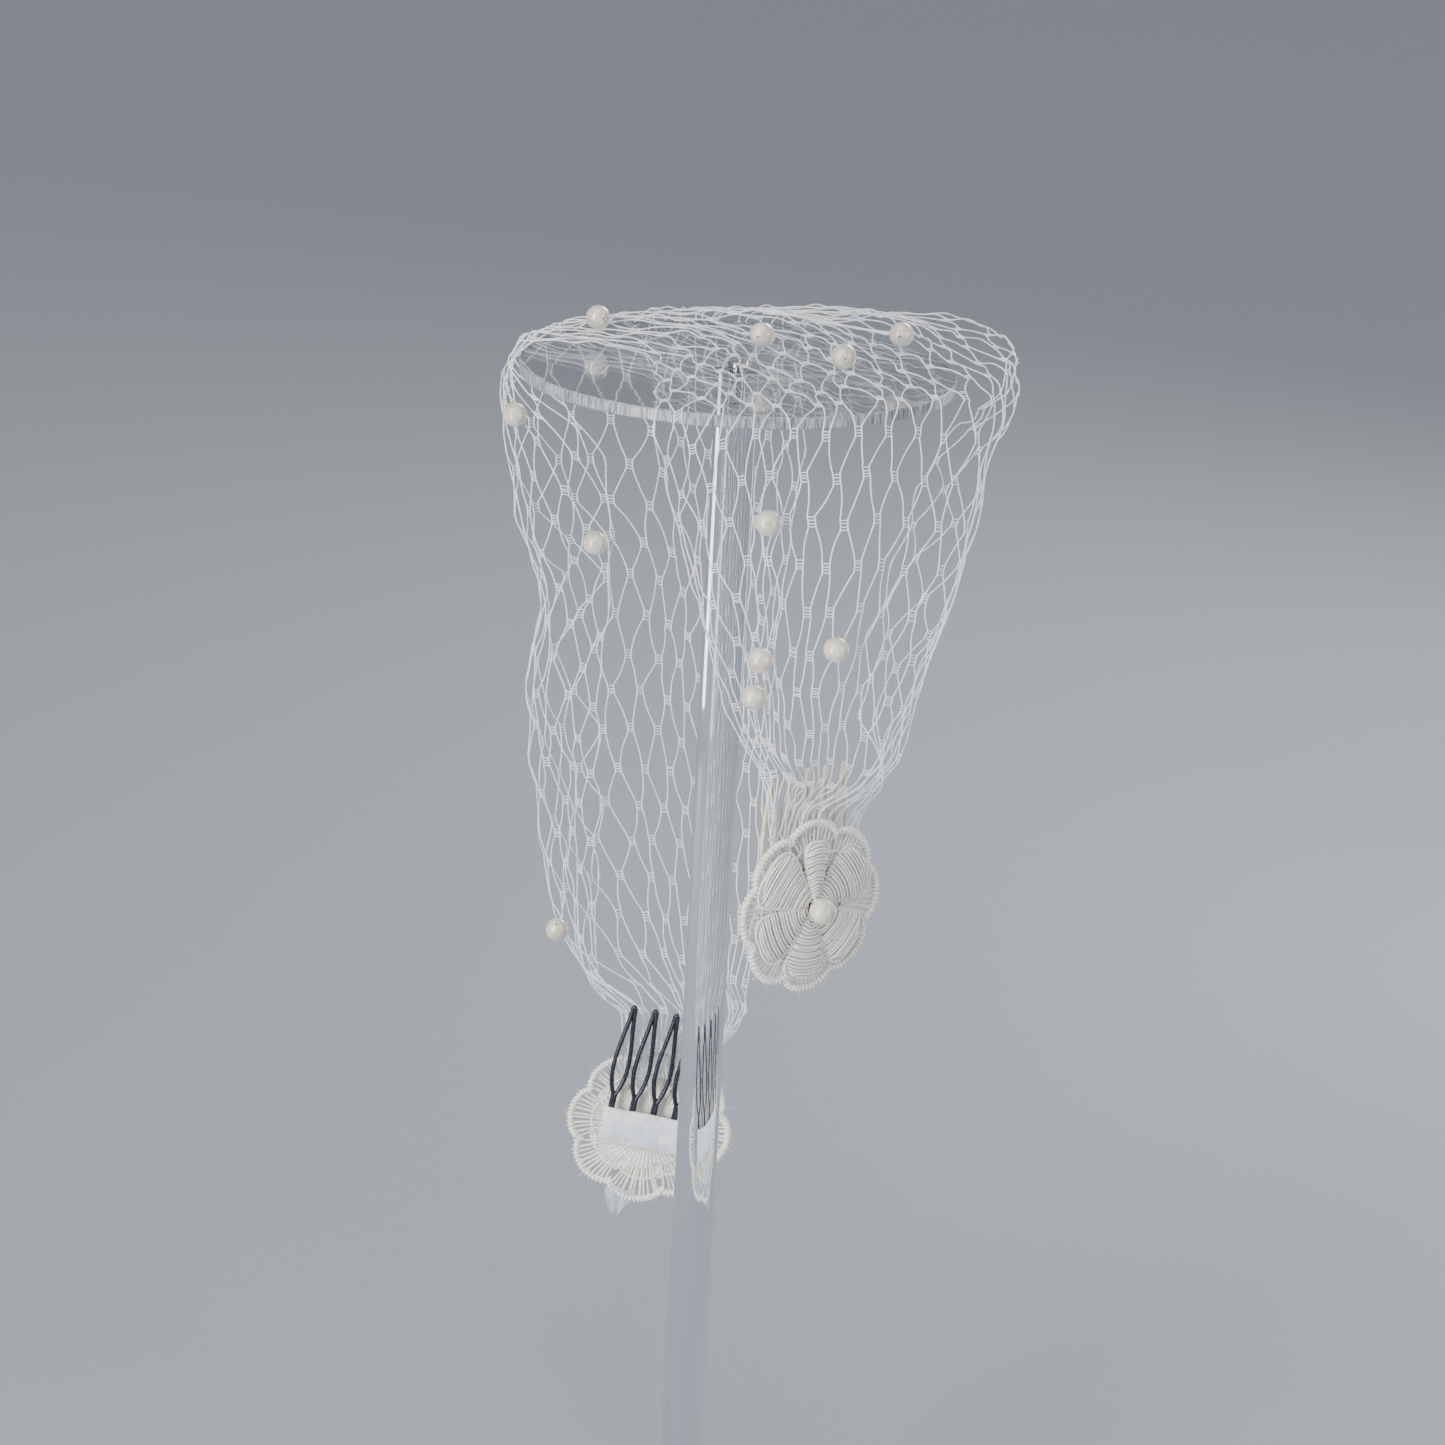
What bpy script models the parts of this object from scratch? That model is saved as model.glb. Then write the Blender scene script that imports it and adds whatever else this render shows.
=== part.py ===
"""Short bridal veil of ladder-joint net, draped over a clear disc on a rod.

One strip of net runs from its back gather, up and over the disc, to its front gather.
Each gather is sewn between a lace flower outside and a hair comb under a ribbon inside.
Sizes are in millimetres, and the heights of the veil are counted from the disc's top.
The viewer looks along +Y, with +X to the right. The origin is under the base's centre.
"""

import math

import bmesh
import bpy
import numpy as np
from mathutils import Matrix, Vector

MM = 0.001
GAP = 0.3

# The stand, from the base up.
BASE_RADIUS = 75.0
BASE_THICK = 10.0
BASE_CHAMFER = 1.2
ROD_RADIUS = 7.0
DISC_RADIUS = 70.0
DISC_THICK = 4.0
DISC_TOP = 450.0
EDGE_CHAMFER = 0.4
SCREW_HEAD_RADIUS = 3.4
SCREW_HEAD_THICK = 1.3
SCREW_SHANK_RADIUS = 1.5
SCREW_LENGTH = 14.0
BORE_RADIUS = SCREW_SHANK_RADIUS + GAP
BORE_SPARE_DEPTH = 1.0
ROUND_STEPS = 64
ROD_STEPS = 32
SMALL_STEPS = 24
MERGE_DISTANCE = 0.01

# The net strip. A section starts at its left selvage (x, y, height) and runs across the
# strip for its width, with the heading turning by `turn` degrees, sooner if `skew` is over 0.
# `lift` raises the right selvage, `swell` the middle, `fold` and `pleat` are ripple depths.
NET_WALL = 1.0
FOLD_COUNT = 4
FOLD_DRIFT = 0.12
PLEAT_COUNT = 9
GATHER_PLEAT = 1.3
SECTION_COLUMNS = (
    "x", "y", "height", "heading", "turn", "skew", "width", "lift", "swell", "fold", "pleat"
)
SECTIONS = (
    ("back end", -33.2, 43.9, -264.0, 3.0, 0.0, 0.0, 34.0, -6.0, 0.0, 0.0, GATHER_PLEAT),
    ("back gather", -32.5, 43.9, -248.0, 3.0, 0.0, 0.0, 36.0, -12.0, 0.0, 0.0, GATHER_PLEAT),
    ("back pinch", -32.5, 43.8, -241.0, 12.0, -18.0, 0.0, 38.0, -12.0, 0.0, 0.0, GATHER_PLEAT),
    ("back neck", -33.0, 35.0, -226.0, 156.0, -196.0, 1.0, 86.0, -6.0, 0.0, 1.5, 0.8),
    ("back low", -36.0, 31.0, -200.0, 176.0, -212.0, 1.0, 110.0, 0.0, 0.0, 2.5, 0.4),
    ("back knee", -37.0, 26.0, -160.0, 190.0, -219.0, 1.0, 124.0, 0.0, 0.0, 2.5, 0.0),
    ("back swell", -39.0, 21.0, -118.0, 193.0, -218.0, 1.0, 139.0, 0.0, 0.0, 2.0, 0.0),
    ("back waist", -37.0, 18.0, -92.0, 187.0, -206.0, 1.0, 136.0, 0.0, 0.0, 2.0, 0.0),
    ("back middle", -36.0, 14.0, -62.0, 206.0, -224.0, 1.0, 166.0, 0.0, 0.0, 2.0, 0.0),
    ("back high", -41.0, 11.0, -30.0, 200.0, -218.0, 1.0, 178.0, 0.0, 0.0, 1.5, 0.0),
    ("back fall", -71.5, 16.0, -7.0, 106.0, -146.0, 0.2, 144.0, 0.0, 0.0, 0.8, 0.0),
    ("back rim", -71.0, 14.0, 0.9, 82.0, -104.0, 0.0, 136.0, 0.0, 0.0, 0.5, 0.0),
    ("crown back", -56.0, 7.0, 0.9, 60.0, -58.0, 0.0, 132.0, 2.2, 3.0, 0.8, 0.0),
    ("crown middle", -37.0, 1.0, 0.9, 34.0, -8.0, 0.0, 128.0, 3.2, 5.0, 1.0, 0.0),
    ("crown front", -28.0, -13.0, 0.9, 10.0, 36.0, 0.0, 131.0, 2.8, 4.5, 1.0, 0.0),
    ("crown fall", -27.0, -42.0, 0.9, -8.0, 84.0, 0.0, 154.0, 2.6, 2.0, 0.8, 0.0),
    ("front rim", -27.0, -68.5, 0.9, -16.0, 114.0, 0.0, 181.0, 2.4, 0.0, 0.5, 0.0),
    ("front fall", -26.5, -68.5, -7.0, -25.0, 130.0, 0.0, 183.0, -0.5, 0.0, 0.8, 0.0),
    ("front high", -20.0, -60.0, -28.0, -43.0, 175.0, 0.0, 180.0, 0.0, 0.0, 2.0, 0.0),
    ("front middle", -8.5, -56.0, -56.0, -58.0, 205.0, 0.0, 156.0, 0.0, 0.0, 3.0, 0.0),
    ("front low", 3.0, -52.0, -88.0, -68.0, 225.0, 0.0, 118.0, 0.0, 0.0, 3.0, 0.0),
    ("front waist", 8.0, -50.5, -106.0, -66.0, 220.0, 0.0, 97.0, 0.0, 0.0, 2.0, 0.5),
    ("front neck", 13.0, -53.0, -122.0, -36.0, 158.0, 0.0, 68.0, 0.0, 0.0, 1.0, 1.0),
    ("front pinch", 15.6, -56.0, -134.0, 38.0, 4.0, 0.0, 38.0, 0.0, 0.0, 0.0, GATHER_PLEAT),
    ("front gather", 16.3, -55.5, -142.0, 40.0, 0.0, 0.0, 36.0, 0.0, 0.0, 0.0, GATHER_PLEAT),
    ("front end", 17.1, -54.9, -155.0, 40.0, 0.0, 0.0, 34.0, 0.0, 0.0, 0.0, GATHER_PLEAT),
)
SECTION_NAMES = [row[0] for row in SECTIONS]
SECTION_VALUES = np.array([row[1:] for row in SECTIONS])
SEAM_SHARE = 0.012

# The strip in three stretches: first and last place by section number, steps along, across.
BACK_SEAM = SECTION_NAMES.index("back high") + 0.5
FRONT_SEAM = SECTION_NAMES.index("front fall") + 0.5
NET_STRETCHES = (
    ("net_back_tail", 0.0, BACK_SEAM, 24, 36),
    ("net_crown", BACK_SEAM, FRONT_SEAM, 16, 36),
    ("net_front_tail", FRONT_SEAM, len(SECTIONS) - 1.0, 20, 36),
)

# Pearls on the outside of the net: place along the strip by section number, and share across.
PEARL_RADIUS = 4.0
PEARL_SEGMENTS = 12
PEARL_RINGS = 6
PEARL_COLUMNS = 100
AHEAD_SHARE = 0.01
PEARLS = (
    ("pearl_back_low", 3.75, 0.15),
    ("pearl_back_middle", 8.0, 0.05),
    ("pearl_back_left", 9.2, 0.14),
    ("pearl_crown_left", 11.85, 0.18),
    ("pearl_crown_back", 13.85, 0.29),
    ("pearl_crown_middle", 14.75, 0.42),
    ("pearl_crown_right", 14.3, 0.63),
    ("pearl_front_high", 18.1, 0.20),
    ("pearl_front_left", 19.55, 0.17),
    ("pearl_front_right", 19.35, 0.32),
    ("pearl_front_low", 20.0, 0.14),
)

# A trim is a flower, comb and ribbon on one gather. Its plane is the gathered net's.
# x, y, height: the flower's centre on that plane; facing: compass turn of its outer side.
TRIM_COLUMNS = ("x", "y", "height", "facing", "roll")
TRIMS = {
    "back": (-17.0, 44.5, -284.0, 93.0, 10.0),
    "front": (30.0, -43.8, -165.0, -50.0, 0.0),
}
FLOWER_RADIUS = 29.0
FLOWER_LOBES = 8
FLOWER_LOBE_DEPTH = 0.13
FLOWER_SPOKES = 64
PETAL_RADIUS = 21.0
PETAL_LOBES = 5
PETAL_LOBE_DEPTH = 0.2
PETAL_SPOKES = 50
PETAL_PUFF = 1.8
LACE_WALL = 1.2
LACE_CORD = 0.7
FLOWER_BACK = NET_WALL / 2 + GATHER_PLEAT + 2 * GAP
FLOWER_PEARL_RADIUS = 4.25
COMB_THICK = 1.2
COMB_TEETH = 5
COMB_PITCH = 7.0
COMB_BAR_HEIGHT = 3.0
COMB_BAR_OVERHANG = 1.0
TOOTH_LENGTH = 44.0
TOOTH_STEM = 9.0
TOOTH_HALF_WIDTH = 3.0
STEM_HALF_WIDTH = 0.9
TOOTH_WIRE = 1.3
TOOTH_STEPS = 8
LEAF_LOW = 0.75
LEAF_FULLNESS = 0.8
NARROWEST_HALF_HOLE = 0.25
RIBBON_WIDTH = 10.5
RIBBON_LENGTH = 34.0
RIBBON_THICK = 0.8
RIBBON_EDGE = 0.25


def clear_scene():
    for obj in list(bpy.data.objects):
        bpy.data.objects.remove(obj, do_unlink=True)


def new_collection(name):
    made = bpy.data.collections.new(name)
    bpy.context.scene.collection.children.link(made)
    return made


def new_material(name, colour, roughness, metallic=0.0, alpha=1.0):
    material = bpy.data.materials.new(name)
    material.use_nodes = True
    shader = material.node_tree.nodes["Principled BSDF"]
    shader.inputs["Base Color"].default_value = (*colour, 1.0)
    shader.inputs["Roughness"].default_value = roughness
    shader.inputs["Metallic"].default_value = metallic
    shader.inputs["Alpha"].default_value = alpha
    return material


def add_object(name, data, material):
    data.materials.append(material)
    obj = bpy.data.objects.new(name, data)
    parts.objects.link(obj)
    return obj


def solidify(obj, thickness, offset):
    modifier = obj.modifiers.new("wall", "SOLIDIFY")
    modifier.thickness = thickness * MM
    modifier.offset = offset
    modifier.use_even_offset = True


def turned(name, profile, closed, material, steps=ROUND_STEPS):
    """A round piece about the Z axis. The profile is (radius, height), down its outer side."""
    mesh = bpy.data.meshes.new(name)
    points = [(radius * MM, 0.0, height * MM) for radius, height in profile]
    edges = [(i, i + 1) for i in range(len(points) - 1)]
    if closed:
        edges.append((len(points) - 1, 0))
    mesh.from_pydata(points, edges, [])
    obj = add_object(name, mesh, material)
    screw = obj.modifiers.new("turn", "SCREW")
    screw.steps = steps
    screw.render_steps = steps
    screw.use_merge_vertices = True
    screw.merge_threshold = MERGE_DISTANCE * MM
    screw.use_smooth_shade = False
    return obj


def make_stand(clear, steel):
    """Base, rod and disc of clear sheet and bar, held together by one screw through the disc."""
    c = BASE_CHAMFER
    turned("stand_base", (
        (0.0, BASE_THICK), (BASE_RADIUS - c, BASE_THICK), (BASE_RADIUS, BASE_THICK - c),
        (BASE_RADIUS, 0.0), (0.0, 0.0),
    ), False, clear)
    disc_bottom = DISC_TOP - DISC_THICK
    rod_top = disc_bottom - GAP
    bore_bottom = DISC_TOP - SCREW_LENGTH - BORE_SPARE_DEPTH
    turned("stand_rod", (
        (0.0, bore_bottom), (BORE_RADIUS, bore_bottom), (BORE_RADIUS, rod_top),
        (ROD_RADIUS, rod_top), (ROD_RADIUS, BASE_THICK + GAP), (0.0, BASE_THICK + GAP),
    ), False, clear, ROD_STEPS)
    c = EDGE_CHAMFER
    turned("stand_disc", (
        (BORE_RADIUS, disc_bottom), (BORE_RADIUS, DISC_TOP), (DISC_RADIUS - c, DISC_TOP),
        (DISC_RADIUS, DISC_TOP - c), (DISC_RADIUS, disc_bottom + c),
        (DISC_RADIUS - c, disc_bottom),
    ), True, clear)
    seat = DISC_TOP + GAP
    turned("stand_screw", (
        (0.0, seat + SCREW_HEAD_THICK), (SCREW_HEAD_RADIUS - c, seat + SCREW_HEAD_THICK),
        (SCREW_HEAD_RADIUS, seat + SCREW_HEAD_THICK - c), (SCREW_HEAD_RADIUS, seat),
        (SCREW_SHANK_RADIUS, seat), (SCREW_SHANK_RADIUS, DISC_TOP - SCREW_LENGTH),
        (0.0, DISC_TOP - SCREW_LENGTH),
    ), False, steel, SMALL_STEPS)


def row_slope(row):
    """How fast the table's values change at a row: level at a peak, so nothing overshoots."""
    last = len(SECTION_VALUES) - 1
    rise = SECTION_VALUES[row] - SECTION_VALUES[max(row - 1, 0)]
    onward = SECTION_VALUES[min(row + 1, last)] - SECTION_VALUES[row]
    same_way = rise * onward > 0
    total = np.where(same_way, rise + onward, 1.0)
    return np.where(same_way, 2 * rise * onward / total, 0.0)


def section_at(along):
    """The table's values at a place along the strip, on a smooth curve through its rows."""
    row = min(max(int(along), 0), len(SECTION_VALUES) - 2)
    f = along - row
    here, after = SECTION_VALUES[row], SECTION_VALUES[row + 1]
    ease = f * f * (3 - 2 * f)
    values = here + (after - here) * ease
    values = values + row_slope(row) * f * (1 - f) ** 2 - row_slope(row + 1) * f * f * (1 - f)
    return dict(zip(SECTION_COLUMNS, values))


def flat_section(along, columns):
    """One section's points before its folds, from the left selvage to the right."""
    s = section_at(along)
    middles = (np.arange(columns) + 0.5) / columns
    heading = np.radians(
        s["heading"] + s["turn"] * (middles + s["skew"] * middles * (1 - middles))
    )
    step = s["width"] / columns
    x = s["x"] + np.concatenate(([0.0], np.cumsum(np.cos(heading)) * step))
    y = s["y"] + np.concatenate(([0.0], np.cumsum(np.sin(heading)) * step))
    across = np.linspace(0.0, 1.0, columns + 1)
    height = s["height"] + s["lift"] * across + s["swell"] * 4 * across * (1 - across)
    return np.stack((x, y, height), axis=1)


def strip_points(places, columns):
    """Points and outward directions of the strip, a row for each place along it."""
    points = np.array([flat_section(along, columns) for along in places])
    ahead = np.array([flat_section(along + AHEAD_SHARE, columns) for along in places])
    behind = np.array([flat_section(along - AHEAD_SHARE, columns) for along in places])
    outward = np.cross(ahead - behind, np.gradient(points, axis=1))
    outward /= np.linalg.norm(outward, axis=2, keepdims=True)
    across = np.linspace(0.0, 1.0, columns + 1)
    for i, along in enumerate(places):
        s = section_at(along)
        folds = s["fold"] * (1 - np.cos(2 * math.pi * (FOLD_COUNT * across + FOLD_DRIFT * along))) / 2
        pleats = s["pleat"] * (1 - np.cos(2 * math.pi * PLEAT_COUNT * across)) / 2
        points[i] += outward[i] * (folds + pleats)[:, None]
    points[:, :, 2] += DISC_TOP
    return points, outward


def make_net(material):
    for name, first, last, rows, columns in NET_STRETCHES:
        places = np.linspace(first, last, rows + 1)
        places[0] += SEAM_SHARE
        places[-1] -= SEAM_SHARE
        points, _ = strip_points(places, columns)
        width = columns + 1
        faces = [
            (i * width + j, i * width + j + 1, (i + 1) * width + j + 1, (i + 1) * width + j)
            for i in range(rows)
            for j in range(columns)
        ]
        mesh = bpy.data.meshes.new(name)
        mesh.from_pydata([tuple(p * MM) for p in points.reshape(-1, 3)], [], faces)
        mesh.shade_smooth()
        solidify(add_object(name, mesh, material), NET_WALL, 0.0)


def add_pearl(name, centre, radius, material):
    mesh = bpy.data.meshes.new(name)
    shape = bmesh.new()
    bmesh.ops.create_uvsphere(
        shape, u_segments=PEARL_SEGMENTS, v_segments=PEARL_RINGS, radius=radius * MM
    )
    shape.to_mesh(mesh)
    shape.free()
    mesh.shade_smooth()
    obj = add_object(name, mesh, material)
    obj.location = Vector(centre) * MM


def make_net_pearls(material):
    """Each pearl stands on the net's outer face."""
    reach = NET_WALL / 2 + GAP + PEARL_RADIUS
    for name, along, across in PEARLS:
        points, outward = strip_points([along], PEARL_COLUMNS)
        at = round(across * PEARL_COLUMNS)
        add_pearl(name, points[0][at] + outward[0][at] * reach, PEARL_RADIUS, material)


def trim_frame(trim):
    """Local x across the gather, y up, z out of the flower's face."""
    values = dict(zip(TRIM_COLUMNS, TRIMS[trim]))
    place = Vector((values["x"], values["y"], values["height"] + DISC_TOP)) * MM
    upright = Matrix.Rotation(math.radians(values["facing"] + 90), 4, "Z")
    upright = upright @ Matrix.Rotation(math.radians(90), 4, "X")
    return Matrix.Translation(place) @ upright @ Matrix.Rotation(
        math.radians(values["roll"]), 4, "Z"
    )


def lobed(radius, lobes, depth, angle):
    """The edge of a flower with round lobes, whose first lobe points up."""
    swing = abs(math.cos(lobes * (angle - math.pi / 2) / 2))
    return radius * (1 - depth * (1 - math.sqrt(swing))), math.sqrt(swing)


def lace_layer(name, frame, back, radius, lobes, depth, spokes, rings, material):
    """A lace sheet. Each ring is (share of the radius, rise at a lobe's middle)."""
    points = [(0.0, 0.0, 0.0)]
    for share, rise in rings:
        for i in range(spokes):
            angle = 2 * math.pi * i / spokes
            edge, swing = lobed(radius, lobes, depth, angle)
            x, y = edge * share * math.cos(angle), edge * share * math.sin(angle)
            points.append((x * MM, y * MM, rise * swing * MM))
    faces = []
    for i in range(spokes):
        j = (i + 1) % spokes
        faces.append((0, 1 + i, 1 + j))
        for ring in range(len(rings) - 1):
            inner, outer = 1 + ring * spokes, 1 + (ring + 1) * spokes
            faces.append((inner + i, outer + i, outer + j, inner + j))
    mesh = bpy.data.meshes.new(name)
    mesh.from_pydata(points, [], faces)
    mesh.shade_smooth()
    obj = add_object(name, mesh, material)
    obj.matrix_world = frame @ Matrix.Translation((0.0, 0.0, back * MM))
    solidify(obj, LACE_WALL, 1.0)


def make_flower(trim, frame, lace, pearl):
    lower_rings = ((0.5, 0.0), (0.86, 0.0), (0.94, LACE_CORD), (1.0, 0.1))
    lace_layer(
        f"{trim}_flower_lower", frame, FLOWER_BACK,
        FLOWER_RADIUS, FLOWER_LOBES, FLOWER_LOBE_DEPTH, FLOWER_SPOKES, lower_rings, lace,
    )
    upper_back = FLOWER_BACK + LACE_WALL + GAP
    upper_rings = ((0.25, 0.5), (0.6, PETAL_PUFF), (0.88, 0.8 * PETAL_PUFF), (1.0, 0.2))
    lace_layer(
        f"{trim}_flower_petals", frame, upper_back,
        PETAL_RADIUS, PETAL_LOBES, PETAL_LOBE_DEPTH, PETAL_SPOKES, upper_rings, lace,
    )
    out = upper_back + LACE_WALL + GAP + FLOWER_PEARL_RADIUS
    centre = frame @ Vector((0.0, 0.0, out * MM))
    add_pearl(f"{trim}_flower_pearl", centre / MM, FLOWER_PEARL_RADIUS, pearl)


def tooth_side(wire):
    """Half widths up one tooth, as (half width, height), for its outside or inside of the wire."""
    side = []
    for i in range(TOOTH_STEPS + 1):
        share = i / TOOTH_STEPS
        leaf = math.sin(math.pi * share ** LEAF_LOW) ** LEAF_FULLNESS
        half = STEM_HALF_WIDTH + (TOOTH_HALF_WIDTH - STEM_HALF_WIDTH) * leaf
        side.append((half - wire, TOOTH_STEM + (TOOTH_LENGTH - TOOTH_STEM) * share))
    return side


def add_outline(curve, points):
    spline = curve.splines.new("POLY")
    spline.points.add(len(points) - 1)
    for point, (x, y) in zip(spline.points, points):
        point.co = (x * MM, y * MM, 0.0, 1.0)
    spline.use_cyclic_u = True


def make_comb(trim, frame, metal):
    """A flat comb: a bar with leaf-shaped open teeth that point up from it."""
    curve = bpy.data.curves.new(f"{trim}_comb", "CURVE")
    curve.dimensions = "2D"
    curve.fill_mode = "BOTH"
    curve.extrude = COMB_THICK / 2 * MM
    first = -COMB_PITCH * (COMB_TEETH - 1) / 2
    end = -first + STEM_HALF_WIDTH + COMB_BAR_OVERHANG
    bar_top = COMB_BAR_HEIGHT / 2
    outline = [(-end, -bar_top), (end, -bar_top), (end, bar_top)]
    for tooth in reversed(range(COMB_TEETH)):
        x = first + tooth * COMB_PITCH
        side = [(STEM_HALF_WIDTH, bar_top)] + tooth_side(0.0)
        outline += [(x + half, up) for half, up in side]
        outline += [(x - half, up) for half, up in reversed(side)]
    outline.append((-end, bar_top))
    add_outline(curve, outline)
    for tooth in range(COMB_TEETH):
        x = first + tooth * COMB_PITCH
        inside = [(half, up) for half, up in tooth_side(TOOTH_WIRE) if half > NARROWEST_HALF_HOLE]
        hole = [(x + half, up) for half, up in inside]
        hole += [(x - half, up) for half, up in reversed(inside)]
        add_outline(curve, hole)
    obj = add_object(f"{trim}_comb", curve, metal)
    inward = NET_WALL / 2 + GAP + COMB_THICK / 2
    obj.matrix_world = frame @ Matrix.Translation((0.0, 0.0, -inward * MM))


def make_ribbon(trim, frame, satin):
    mesh = bpy.data.meshes.new(f"{trim}_ribbon")
    shape = bmesh.new()
    size = Vector((RIBBON_LENGTH, RIBBON_WIDTH, RIBBON_THICK)) * MM
    bmesh.ops.create_cube(shape, size=1.0, matrix=Matrix.Diagonal((*size, 1.0)))
    shape.to_mesh(mesh)
    shape.free()
    obj = add_object(f"{trim}_ribbon", mesh, satin)
    bevel = obj.modifiers.new("soft edge", "BEVEL")
    bevel.width = RIBBON_EDGE * MM
    bevel.segments = 2
    inward = NET_WALL / 2 + 2 * GAP + COMB_THICK + RIBBON_THICK / 2
    obj.matrix_world = frame @ Matrix.Translation((0.0, 0.0, -inward * MM))


def main():
    clear = new_material("clear acrylic", (0.86, 0.88, 0.9), 0.05, alpha=0.35)
    steel = new_material("polished steel", (0.62, 0.62, 0.63), 0.25, metallic=1.0)
    net = new_material("white net", (0.9, 0.91, 0.92), 0.55)
    pearl = new_material("cream pearl", (0.86, 0.84, 0.78), 0.22)
    lace = new_material("white lace", (0.86, 0.85, 0.81), 0.75)
    satin = new_material("white satin", (0.88, 0.89, 0.92), 0.35)
    comb_metal = new_material("dark polished metal", (0.3, 0.31, 0.33), 0.2, metallic=1.0)
    make_stand(clear, steel)
    make_net(net)
    make_net_pearls(pearl)
    for trim in TRIMS:
        frame = trim_frame(trim)
        make_flower(trim, frame, lace, pearl)
        make_comb(trim, frame, comb_metal)
        make_ribbon(trim, frame, satin)


clear_scene()
parts = new_collection("bridal_veil_on_stand")
main()
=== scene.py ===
"""Short bridal veil of ladder-joint net on a clear stand, with pearls, lace flowers and combs.

Lengths are millimetres and become metres where a mesh is made. The veil's heights count from
the disc's top. The viewer looks along +Y, with +X to the right.
"""

import math

import bmesh
import bpy
import numpy as np
from mathutils import Matrix, Vector


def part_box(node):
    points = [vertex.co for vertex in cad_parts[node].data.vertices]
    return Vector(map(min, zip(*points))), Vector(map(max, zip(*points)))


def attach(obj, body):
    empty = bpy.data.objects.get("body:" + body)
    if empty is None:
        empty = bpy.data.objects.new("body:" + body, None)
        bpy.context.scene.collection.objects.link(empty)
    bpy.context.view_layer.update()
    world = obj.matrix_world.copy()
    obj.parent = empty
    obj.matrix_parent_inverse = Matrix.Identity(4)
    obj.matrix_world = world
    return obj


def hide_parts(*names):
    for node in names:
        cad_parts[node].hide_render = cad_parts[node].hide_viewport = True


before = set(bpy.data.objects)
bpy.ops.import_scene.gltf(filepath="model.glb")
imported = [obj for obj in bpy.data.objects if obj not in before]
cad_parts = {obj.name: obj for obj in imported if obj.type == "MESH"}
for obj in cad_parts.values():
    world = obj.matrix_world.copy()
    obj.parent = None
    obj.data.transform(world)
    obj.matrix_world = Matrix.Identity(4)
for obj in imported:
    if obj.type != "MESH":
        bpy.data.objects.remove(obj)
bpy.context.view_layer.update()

MM = 0.001
SEED = 7
random = np.random.default_rng(SEED)


def box_of(node):
    """A node's lowest and highest corners in millimetres."""
    low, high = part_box(node)
    return np.array(low) / MM, np.array(high) / MM


DISC_TOP = round(box_of("stand_disc")[1][2], 2)
DISC_RADIUS = round(box_of("stand_disc")[1][0], 2)
DISC_THICK = round(DISC_TOP - box_of("stand_disc")[0][2], 2)

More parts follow.
